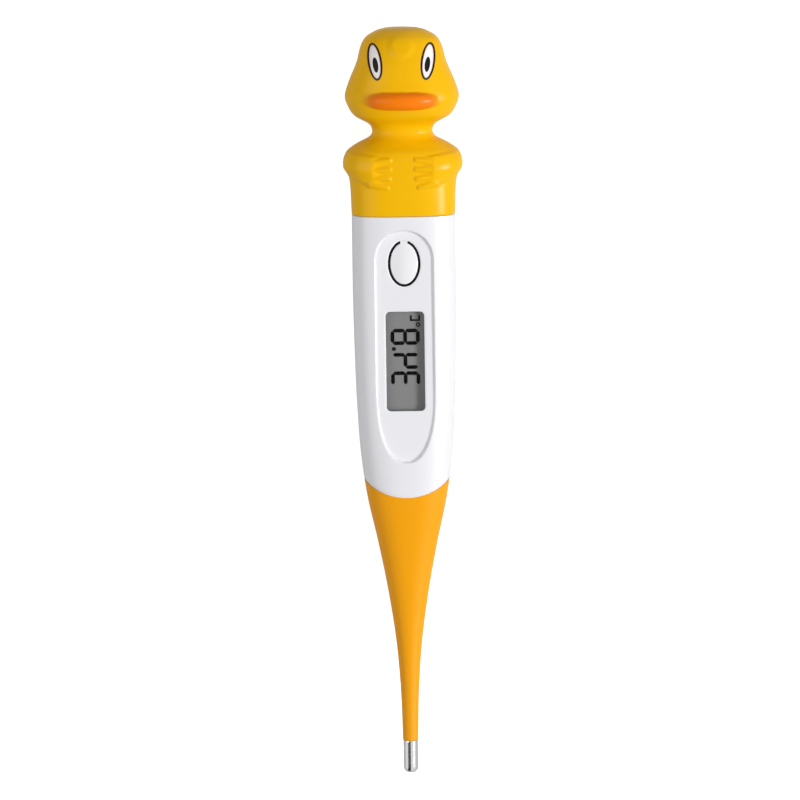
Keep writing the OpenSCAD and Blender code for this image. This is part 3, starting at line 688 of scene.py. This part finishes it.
stem_top = sleeve_piece("stem_sleeve_0", -0.0128, middle_y[0])
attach(stem_top, "body")
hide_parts("stem_base")
for number in range(1, 9):
    bottom = middle_y[number] if number < 8 else stem_end_y
    length = sleeve_piece(f"stem_sleeve_{number}", middle_y[number - 1], bottom)
    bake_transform(length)
    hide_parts(f"stem_link_{number}")

# ---- Probe tip ------------------------------------------------------------------------------------
# The probe tip is a drawn cup of stainless steel, polished on a lathe, crimped into the stem's end. It
# holds the sensing bead in epoxy, and the two enamelled lead wires run back to the board.

tip_low, tip_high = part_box("probe_tip")
tip_r = 0.00145
profile = [(0.0011, tip_high.y), (0.0011, stem_end_y), (0.0011, stem_end_y), (tip_r - 0.00012, stem_end_y),
           (tip_r - 0.00003, stem_end_y - 0.00006), (tip_r, stem_end_y - 0.0002)]
profile += [(tip_r, at) for at in np.linspace(stem_end_y - 0.0004, tip_low.y + 0.0011, 22)]
profile += [(tip_r - 0.0011 + 0.0011 * math.cos(a), tip_low.y + 0.0011 - 0.0011 * math.sin(a))
            for a in np.linspace(0, math.pi / 2, 16)[1:]]


def lathe(name, shape, centre, along="Y", start=True, end=True, cols=96):
    """A turned piece: each pair of a shape is a radius and a place along the axis."""
    angle = np.linspace(0, math.tau, cols + 1)[:-1]
    rings = []
    for radius, at in shape:
        a, b = radius * np.cos(angle), radius * np.sin(angle)
        flat = np.full_like(a, at)
        rings.append(np.stack([centre[0] + a, flat, centre[2] + b] if along == "Y"
                              else [centre[0] + a, centre[1] + b, flat], axis=1))
    poles = [(centre[0], at, centre[2]) if along == "Y" else (centre[0], centre[1], at)
             for at in (shape[0][1], shape[-1][1])]
    return skin(name, np.array(rings), start_pole=poles[0] if start else None, end_pole=poles[1] if end else None)


tip = settle(lathe("probe_cup", profile, (0, 0, axis_z), cols=128), 50)

# Drawn metal: fine streaks that run round or along the piece, and a few soft smears.
drawn_metal, given, made = node_group(
    "drawn_metal",
    [("Colour", "NodeSocketColor", (1, 1, 1, 1)), ("Streak Size", "NodeSocketFloat", 0.0001),
     ("Stretch", "NodeSocketVector", (1, 1, 1)), ("Streak Height", "NodeSocketFloat", 0.000001),
     ("Roughness", "NodeSocketFloat", 0.2), ("Spread", "NodeSocketFloat", 0.1)],
    [("Colour", "NodeSocketColor"), ("Roughness", "NodeSocketFloat"), ("Normal", "NodeSocketVector")],
)
link = drawn_metal.links.new
place_on = drawn_metal.nodes.new("ShaderNodeTexCoord").outputs["Object"]
stretch = drawn_metal.nodes.new("ShaderNodeVectorMath")
stretch.operation = "MULTIPLY"
link(place_on, stretch.inputs[0])
link(given["Stretch"], stretch.inputs[1])
streak = drawn_metal.nodes.new("ShaderNodeTexNoise")
streak.inputs["Detail"].default_value = 3
link(stretch.outputs["Vector"], streak.inputs["Vector"])
link(reckon(drawn_metal, "DIVIDE", 1, given["Streak Size"]), streak.inputs["Scale"])
smear = drawn_metal.nodes.new("ShaderNodeTexNoise")
smear.inputs["Scale"].default_value = 700
link(place_on, smear.inputs["Vector"])
dull = drawn_metal.nodes.new("ShaderNodeMix")
dull.data_type, dull.blend_type = "RGBA", "MULTIPLY"
link(reckon(drawn_metal, "MULTIPLY", smear.outputs["Fac"], 0.15), dull.inputs["Factor"])
link(given["Colour"], dull.inputs["A"])
dull.inputs["B"].default_value = (0.6, 0.58, 0.55, 1)
link(dull.outputs["Result"], made["Colour"])
uneven = reckon(drawn_metal, "MULTIPLY", reckon(drawn_metal, "SUBTRACT", streak.outputs["Fac"], 0.5), given["Spread"])
link(reckon(drawn_metal, "ADD", uneven, given["Roughness"]), made["Roughness"])
relief = drawn_metal.nodes.new("ShaderNodeBump")
link(given["Streak Height"], relief.inputs["Distance"])
link(streak.outputs["Fac"], relief.inputs["Height"])
link(relief.outputs["Normal"], made["Normal"])


def metal(name, colour, rough, streak_mm=0.08, stretch=(0.05, 1, 0.05), height_mm=0.0004, spread=0.1):
    """A drawn, stamped or plated metal."""
    material, tree, shader = new_material(name)
    finish = tree.nodes.new("ShaderNodeGroup")
    finish.node_tree = drawn_metal
    for label, value in (("Colour", colour), ("Streak Size", streak_mm / 1000), ("Stretch", stretch),
                         ("Streak Height", height_mm / 1000), ("Roughness", rough), ("Spread", spread)):
        finish.inputs[label].default_value = value
    tree.links.new(finish.outputs["Colour"], shader.inputs["Base Color"])
    tree.links.new(finish.outputs["Roughness"], shader.inputs["Roughness"])
    tree.links.new(finish.outputs["Normal"], shader.inputs["Normal"])
    shader.inputs["Metallic"].default_value = 1
    return material


wear(tip, metal("tip_steel", paint(214, 214, 216), 0.13))
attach(tip, "stem_8")
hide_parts("probe_tip")
dress(moulded("bead_glass", paint(90, 60, 40), 0.15, drift=0.3, grain_mm=0.1), "thermistor")
dress(moulded("epoxy_fill", paint(40, 40, 44), 0.3, drift=0.3, grain_mm=0.1), "tip_filler")
dress(metal("lead_enamel", paint(176, 90, 44), 0.3, stretch=(1, 0.05, 1)), *[f"lead_wires_{n}" for n in range(9)])

# ---- Duck cap -------------------------------------------------------------------------------------
# The cap is a slush-moulded duck in soft yellow vinyl that pulls off to reach the battery. The eyes and
# the bill are sprayed on. Its skirt is as wide as the body, with two arms folded over the front.

cap_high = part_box("duck_cap")[1]
cap_long = cap_high.y - seam_y
# Each row: how far up the cap, then the half width, the front and the back height, in millimetres.
DUCK = [
    (0, 10.3, 12.4, -0.4), (0.2, 10.75, 12.9, -0.4), (0.262, 11.9, 13.2, -0.4), (0.337, 11.25, 12.9, 0),
    (0.38, 9.2, 11.7, 1), (0.415, 6.7, 10.7, 1.8), (0.445, 6, 10.3, 2), (0.488, 6.7, 10.9, 1.6),
    (0.534, 9.5, 12.9, 0.5), (0.593, 10.9, 14.3, -0.3), (0.642, 11.35, 14.6, -0.5), (0.714, 10.6, 14.3, -0.4),
    (0.825, 8.9, 13.6, 0), (0.906, 8.1, 12.6, 0.8), (0.957, 7, 11.6, 1.8), (0.992, 4.8, 9.9, 3.4), (1, 3.6, 9, 4.2),
]
bill_y, bill_half_x, bill_half_y = seam_y + 0.629 * cap_long, 0.0071, 0.0018


def capsule(x, y, ax, ay, bx, by):
    """Distance from a straight line between two points, for a limb moulded in relief."""
    t = np.clip(((x - ax) * (bx - ax) + (y - ay) * (by - ay)) / ((bx - ax) ** 2 + (by - ay) ** 2), 0, 1)
    return np.hypot(x - ax - t * (bx - ax), y - ay - t * (by - ay)), t


# Each finger: the height of its knuckle, then how far from the middle and how high its tip lies.
FINGERS = [(0.0489, 0.00265, 0.0494), (0.0474, 0.00265, 0.0475), (0.0459, 0.00275, 0.0456), (0.0446, 0.0032, 0.0438)]
# The forearm's outline on one side of the cap, shoulder first, then wrist and elbow.
FOREARM = [(0.0125, 0.0509), (0.0043, 0.0499), (0.0039, 0.0437), (0.0125, 0.0459)]


def duck_relief(x, y):
    """How far the bill, the brow, the arms and the fingers stand out of the cap."""
    q = np.abs(x / bill_half_x) ** 2.8 + np.abs((y - bill_y) / bill_half_y) ** 2.6
    bill = 0.0015 * np.sqrt(np.clip(1.04 - q, 0, 1)) * ease((1.04 - q) / 0.18)
    bill += 0.0003 * ease(1 - np.abs(y - bill_y) / 0.004) * ease(1 - np.abs(x) / 0.009)
    brow = 0.0003 * ease((1 - np.hypot(x / 0.0032, (y - 0.0721) / 0.003)) / 0.5)
    side = np.abs(x)
    outside = np.full_like(x, -1.0)
    for (ax, ay), (bx, by) in zip(FOREARM, FOREARM[1:] + FOREARM[:1]):
        run = math.hypot(bx - ax, by - ay)
        outside = np.maximum(outside, ((by - ay) * (side - ax) - (bx - ax) * (y - ay)) / run)
    arm = (0.00055 * ease(0.5 - outside / 0.0006) + 0.0002 * ease(-outside / 0.0025)) * ease((side - 0.0038) / 0.0026)
    for knuckle, tip_x, tip_y in FINGERS:
        gap, t = capsule(side, y, 0.0066, knuckle, tip_x, tip_y)
        arm = np.maximum(arm, (0.00066 - 0.0003 * t) * np.clip(1 - (gap / (0.00092 - 0.00035 * t)) ** 2, 0, 1))
    return bill + brow + arm


rise = np.linspace(0, 1, 3000)
wide, face, back = (smooth_line(rise, DUCK, column) / 1000 for column in (1, 2, 3))
walk = np.concatenate([[0], np.cumsum(np.sqrt(
    np.diff(rise * cap_long) ** 2 + np.diff(wide) ** 2 + 0.5 * np.diff(face) ** 2))])
shares = np.interp(np.linspace(0, walk[-1], 236), walk, rise)
cols = 352
fine = np.linspace(0, math.tau, 4001)


def oval_ring(half, low, high, power, y):
    """Points at equal steps round a squared oval that is cut flat where the cap lies on its back."""
    x = half * squared(np.cos(fine), power)
    z = np.maximum((high + low) / 2 + (high - low) / 2 * squared(np.sin(fine), power), 0)
    step = np.concatenate([[0], np.cumsum(np.hypot(np.diff(x), np.diff(z)))])
    even = np.interp(np.linspace(0, step[-1], cols + 1)[:-1], step, fine)
    x = np.interp(even, fine, x)
    z = np.interp(even, fine, z)
    return np.stack([x, np.full(cols, y), z], axis=1)


cap_rings = []
plug_low, plug_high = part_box("cap_plug")
pocket_x, pocket_z = plug_high.x + 0.00008, (plug_high.z - plug_low.z) / 2 + 0.00008
plug_z = (plug_high.z + plug_low.z) / 2
for share in (0.3, 0.7, 1):
    cap_rings.append(oval_ring(pocket_x * share, plug_z - pocket_z * share, plug_z + pocket_z * share, 3, plug_high.y + 0.0001))
for y in (plug_high.y - 0.002, seam_y + 0.003, seam_y + 0.0001):
    cap_rings.append(oval_ring(pocket_x, plug_z - pocket_z, plug_z + pocket_z, 3, y))
cap_rings.append(oval_ring(pocket_x + 0.0001, plug_z - pocket_z - 0.0001, plug_z + pocket_z + 0.0001, 3, seam_y + 0.00002))
for out, up in ((0.0004, 0.00002), (0.00012, 0.00003), (0.00003, 0.0001)):
    half, high, low = (smooth_line(0.0, DUCK, column) / 1000 for column in (1, 2, 3))
    cap_rings.append(oval_ring(half - out, max(low, 0) + out if out > 0.0001 else low, high - out, 3, seam_y + up))
first_outer = len(cap_rings)
for share in shares[1:]:
    half, high, low = (float(smooth_line(share, DUCK, column)) / 1000 for column in (1, 2, 3))
    power = 3 - 0.7 * float(ease(share / 0.4))
    cap_rings.append(oval_ring(half, low, high, power, seam_y + share * cap_long))
crown = cap_rings[-1].copy()
centre = np.array([0, cap_high.y, crown[:, 2].mean()])
for step in np.linspace(0, math.pi / 2, 12)[1:-1]:
    ring = centre + (crown - centre) * math.cos(step)
    ring[:, 1] = cap_high.y + 0.00022 * math.sin(step)
    cap_rings.append(ring)
cap_rings = np.array(cap_rings)
outer = cap_rings[first_outer:]
lifted = duck_relief(outer[..., 0], outer[..., 1]) * ease(outer[..., 2] / 0.003) * ease((outer[..., 2] - 0.005) / 0.002)
outer[..., 2] += lifted
cap = skin("duck_moulding", cap_rings, start_pole=(0, plug_high.y + 0.0001, plug_z),
           end_pole=(0, cap_high.y + 0.00022, float(centre[2])))
settle(cap, 60)

# A spot sprayed through a mask, on the front only: 1 inside an oval, 0 outside, with a soft edge.
sprayed_spot, given, made = node_group(
    "sprayed_spot",
    [("Across", "NodeSocketFloat", 0.0), ("Along", "NodeSocketFloat", 0.0), ("Half Width", "NodeSocketFloat", 0.001),
     ("Half Length", "NodeSocketFloat", 0.001), ("Lean", "NodeSocketFloat", 0.0), ("Softness", "NodeSocketFloat", 0.05),
     ("Squareness", "NodeSocketFloat", 2.0), ("Front", "NodeSocketFloat", 0.006)],
    [("Mask", "NodeSocketFloat")],
)
tree = sprayed_spot
at = tree.nodes.new("ShaderNodeSeparateXYZ")
tree.links.new(tree.nodes.new("ShaderNodeTexCoord").outputs["Object"], at.inputs["Vector"])
dx = reckon(tree, "SUBTRACT", at.outputs["X"], given["Across"])
dy = reckon(tree, "SUBTRACT", at.outputs["Y"], given["Along"])
cos_lean, sin_lean = reckon(tree, "COSINE", given["Lean"]), reckon(tree, "SINE", given["Lean"])
u = reckon(tree, "ADD", reckon(tree, "MULTIPLY", dx, cos_lean), reckon(tree, "MULTIPLY", dy, sin_lean))
v = reckon(tree, "SUBTRACT", reckon(tree, "MULTIPLY", dy, cos_lean), reckon(tree, "MULTIPLY", dx, sin_lean))
sides = [reckon(tree, "POWER", reckon(tree, "ABSOLUTE", reckon(tree, "DIVIDE", side, given[size])), given["Squareness"])
         for side, size in ((u, "Half Width"), (v, "Half Length"))]
reach = reckon(tree, "POWER", reckon(tree, "ADD", *sides), reckon(tree, "DIVIDE", 1, given["Squareness"]))
fade = tree.nodes.new("ShaderNodeMapRange")
fade.interpolation_type = "SMOOTHSTEP"
tree.links.new(reach, fade.inputs["Value"])
tree.links.new(reckon(tree, "SUBTRACT", 1, given["Softness"]), fade.inputs["From Min"])
tree.links.new(reckon(tree, "ADD", 1, given["Softness"]), fade.inputs["From Max"])
fade.inputs["To Min"].default_value, fade.inputs["To Max"].default_value = 1, 0
ahead = reckon(tree, "GREATER_THAN", at.outputs["Z"], given["Front"])
tree.links.new(reckon(tree, "MULTIPLY", fade.outputs["Result"], ahead), made["Mask"])

yellow_vinyl = moulded("yellow_vinyl", paint(249, 189, 0), 0.3, drift=0.05, grain_mm=0.5, height_mm=0.003,
                       spread=0.1, Specular_IOR_Level=0.16)
tree = yellow_vinyl.node_tree
shader = tree.nodes["Principled BSDF"]
painted = shader.inputs["Base Color"].links[0].from_socket
SPOTS = [(0, bill_y, bill_half_x, bill_half_y, 0, 0.17, 2.8, paint(253, 128, 6))]
for way in (-1, 1):
    lean = way * math.radians(-8)
    SPOTS += [
        (way * 0.00528, 0.0690, 0.00144, 0.00366, lean, 0.02, 2.0, paint(26, 2, 2)),
        (way * 0.00528, 0.0690, 0.00102, 0.00318, lean, 0.03, 2.0, paint(250, 222, 220)),
        (way * 0.00528, 0.0690, 0.00084, 0.0029, lean, 0.25, 2.0, paint(252, 250, 248)),
        (way * 0.00515, 0.0684, 0.00054, 0.00148, lean, 0.06, 2.0, paint(6, 3, 3)),
    ]
for across, along, half_w, half_l, lean, soft, square, colour in SPOTS:
    spot = tree.nodes.new("ShaderNodeGroup")
    spot.node_tree = sprayed_spot
    for label, value in (("Across", across), ("Along", along), ("Half Width", half_w), ("Half Length", half_l),
                         ("Lean", lean), ("Softness", soft), ("Squareness", square)):
        spot.inputs[label].default_value = value
    layer = tree.nodes.new("ShaderNodeMix")
    layer.data_type = "RGBA"
    tree.links.new(spot.outputs["Mask"], layer.inputs["Factor"])
    tree.links.new(painted, layer.inputs["A"])
    layer.inputs["B"].default_value = colour
    painted = layer.outputs["Result"]
tree.links.new(painted, shader.inputs["Base Color"])
wear(cap, yellow_vinyl)
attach(cap, "cap")
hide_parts("duck_cap")

# ---- Plug and seal --------------------------------------------------------------------------------
# A stiff ABS plug is glued into the cap and closes the body's open end, with a silicone ring round it.


def softened(name, node, radius):
    """A finished copy of a hard CAD piece, with its moulded edges rounded."""
    mesh = nodes[node].data.copy()
    mesh.name = name
    work = bmesh.new()
    work.from_mesh(mesh)
    bmesh.ops.remove_doubles(work, verts=work.verts, dist=1e-6)
    bmesh.ops.dissolve_limit(work, angle_limit=math.radians(1), verts=work.verts, edges=work.edges)
    work.to_mesh(mesh)
    work.free()
    piece = place(name, mesh)
    rounding = piece.modifiers.new("edges", "BEVEL")
    rounding.width, rounding.segments, rounding.limit_method = radius, 2, "ANGLE"
    rounding.angle_limit = math.radians(50)
    rounding.use_clamp_overlap = True
    return settle(piece, 35)


plug = softened("plug_moulding", "cap_plug", 0.00015)
wear(plug, moulded("plug_abs", paint(232, 232, 234), 0.4, drift=0.04))
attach(plug, "cap")
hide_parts("cap_plug")
dress(bpy.data.materials["black_silicone"], "cap_seal_ring")

# ---- Battery drawer and cell ----------------------------------------------------------------------
# The cell is a nickel-plated steel button cell, its can crimped over a smaller lid. It lies in a white
# ABS drawer that slides out of the body's open end once the cap is off.

drawer = softened("drawer_moulding", "battery_drawer", 0.00012)
wear(drawer, moulded("chassis_abs", paint(222, 223, 226), 0.42, drift=0.05))
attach(drawer, "drawer")
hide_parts("battery_drawer")
cell_low, cell_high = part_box("battery")
cell_r = cell_high.x
cell_shape = [(cell_r - 0.0004, cell_high.z), (cell_r - 0.0001, cell_high.z - 0.0001), (cell_r, cell_high.z - 0.0004),
              (cell_r, cell_low.z + 0.0007), (cell_r - 0.0002, cell_low.z + 0.0004), (cell_r - 0.0005, cell_low.z + 0.0003),
              (cell_r - 0.0007, cell_low.z + 0.00045), (cell_r - 0.0009, cell_low.z + 0.0001), (cell_r - 0.0012, cell_low.z)]
cell = settle(lathe("cell_can", cell_shape, (0, (cell_low.y + cell_high.y) / 2, 0), along="Z"), 50)
wear(cell, metal("cell_steel", paint(205, 206, 208), 0.22, streak_mm=0.15, stretch=(1, 0.2, 1)))
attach(cell, "drawer")
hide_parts("battery")

# ---- Board and inner parts ------------------------------------------------------------------------
# The board, its parts and the carrier that holds them are closed in by the shell. The carrier is moulded,
# the board is green solder mask over copper tracks, and the contacts are gilt spring leaves.

dress(bpy.data.materials["chassis_abs"], "chassis", "lcd_frame")
board, board_tree, board_shader = new_material("green_board")
tracks = board_tree.nodes.new("ShaderNodeTexBrick")
tracks.inputs["Scale"].default_value = 900
tracks.inputs["Mortar Size"].default_value = 0.08
tracks.inputs["Color1"].default_value = tracks.inputs["Color2"].default_value = paint(16, 92, 44)
tracks.inputs["Mortar"].default_value = paint(40, 138, 70)
board_tree.links.new(board_tree.nodes.new("ShaderNodeTexCoord").outputs["Object"], tracks.inputs["Vector"])
board_tree.links.new(tracks.outputs["Color"], board_shader.inputs["Base Color"])
board_shader.inputs["Roughness"].default_value = 0.35
dress(board, "circuit_board")
stripes, stripe_tree, stripe_shader = new_material("zebra_rubber")
wave = stripe_tree.nodes.new("ShaderNodeTexWave")
wave.bands_direction = "Y"
wave.inputs["Scale"].default_value = 1600
stripe_tree.links.new(stripe_tree.nodes.new("ShaderNodeTexCoord").outputs["Object"], wave.inputs["Vector"])
bands = stripe_tree.nodes.new("ShaderNodeMix")
bands.data_type = "RGBA"
bands.inputs["A"].default_value, bands.inputs["B"].default_value = paint(236, 120, 140), paint(18, 18, 20)
stripe_tree.links.new(wave.outputs["Fac"], bands.inputs["Factor"])
stripe_tree.links.new(bands.outputs["Result"], stripe_shader.inputs["Base Color"])
stripe_shader.inputs["Roughness"].default_value = 0.6
dress(stripes, "zebra_strips")
dress(metal("spring_steel", paint(190, 190, 194), 0.25), "switch_dome")
dress(metal("reflector_film", paint(225, 226, 228), 0.35, spread=0.05), "lcd_reflector")
dress(moulded("black_epoxy", paint(16, 16, 18), 0.25, drift=0.2), "chip_blob")
dress(moulded("ceramic_chip", paint(150, 124, 96), 0.5, drift=0.3, grain_mm=0.15), "smd_components")
dress(metal("brass_disc", paint(214, 176, 96), 0.25, stretch=(1, 0.1, 1)), "piezo_buzzer")
dress(metal("gilt_contact", paint(226, 186, 104), 0.2, stretch=(1, 0.1, 1)), "contact_positive", "contact_negative")

# ---- Table, light and camera ----------------------------------------------------------------------
# The thermometer lies on its back on a plain white table, with a large soft lamp to its right, a weaker
# one to its left and a low, even light all round. Polished metal also mirrors a dark card on the left.

floor_mesh = bpy.data.meshes.new("table_top")
floor_mesh.from_pydata([(-3, -3, -0.00005), (3, -3, -0.00005), (3, 3, -0.00005), (-3, 3, -0.00005)], [], [(0, 1, 2, 3)])
table_top = place("table_top", floor_mesh)
paper, tree, shader = new_material("table_paper")
shader.inputs["Base Color"].default_value = (0.6, 0.6, 0.6, 1)
shader.inputs["Roughness"].default_value = 0.9
shader.inputs["Specular IOR Level"].default_value = 0
light_path = tree.nodes.new("ShaderNodeLightPath")
seen = reckon(tree, "MAXIMUM", light_path.outputs["Is Camera Ray"], light_path.outputs["Is Transmission Ray"])
seen = reckon(tree, "MAXIMUM", seen, reckon(tree, "MULTIPLY", light_path.outputs["Is Glossy Ray"], 0.15))
shader.inputs["Emission Color"].default_value = (1, 1, 1, 1)
tree.links.new(reckon(tree, "MULTIPLY", seen, 0.78), shader.inputs["Emission Strength"])
wear(table_top, paper)

world = bpy.data.worlds.new("studio")
bpy.context.scene.world = world
world.use_nodes = True
tree = world.node_tree
light_path = tree.nodes.new("ShaderNodeLightPath")
seen = reckon(tree, "MAXIMUM", light_path.outputs["Is Camera Ray"],
              reckon(tree, "MAXIMUM", light_path.outputs["Is Glossy Ray"], light_path.outputs["Is Transmission Ray"]))
side = tree.nodes.new("ShaderNodeSeparateXYZ")
tree.links.new(tree.nodes.new("ShaderNodeTexCoord").outputs["Generated"], side.inputs["Vector"])
card = tree.nodes.new("ShaderNodeMapRange")
card.interpolation_type = "SMOOTHSTEP"
tree.links.new(reckon(tree, "ABSOLUTE", reckon(tree, "ADD", side.outputs["X"], 0.36)), card.inputs["Value"])
card.inputs["From Min"].default_value, card.inputs["From Max"].default_value = 0.26, 0.4
card.inputs["To Min"].default_value, card.inputs["To Max"].default_value = 0.06, 1
shine = reckon(tree, "MAXIMUM", card.outputs["Result"], reckon(tree, "SUBTRACT", 1, light_path.outputs["Is Glossy Ray"]))
even = reckon(tree, "ADD", reckon(tree, "MULTIPLY", seen, 0.68), 0.32)
tree.links.new(reckon(tree, "MULTIPLY", even, shine), tree.nodes["Background"].inputs["Strength"])
tree.nodes["Background"].inputs["Color"].default_value = (1, 1, 1, 1)


def lamp(name, spot, size, watts):
    """A soft square lamp that faces the thermometer."""
    light = bpy.data.lights.new(name, "AREA")
    light.size, light.energy = size, watts
    holder = bpy.data.objects.new(name, light)
    bpy.context.scene.collection.objects.link(holder)
    holder.location = spot
    holder.rotation_euler = (-holder.location).to_track_quat("-Z", "Y").to_euler()


lamp("key_lamp", (0.6, -0.04, 0.48), 0.22, 4.5)
lamp("fill_lamp", (-0.5, 0.1, 0.6), 0.5, 1.6)

camera = bpy.data.cameras.new("front_camera")
camera.sensor_width, camera.lens = 36, 600
viewer = bpy.data.objects.new("front_camera", camera)
bpy.context.scene.collection.objects.link(viewer)
bpy.context.scene.camera = viewer
tilt = math.radians(8)
aim = Vector((-0.0012, 0.0003, 0.006))
away = Vector((0, math.sin(tilt), math.cos(tilt)))
viewer.location = aim + away * 2.661
right = Vector((1, 0, 0))
turned = Matrix((right, away.cross(right), away)).transposed() @ Matrix.Rotation(math.radians(-0.79), 3, "Z")
viewer.rotation_euler = turned.to_euler()

scene = bpy.context.scene
scene.view_settings.view_transform = "Standard"
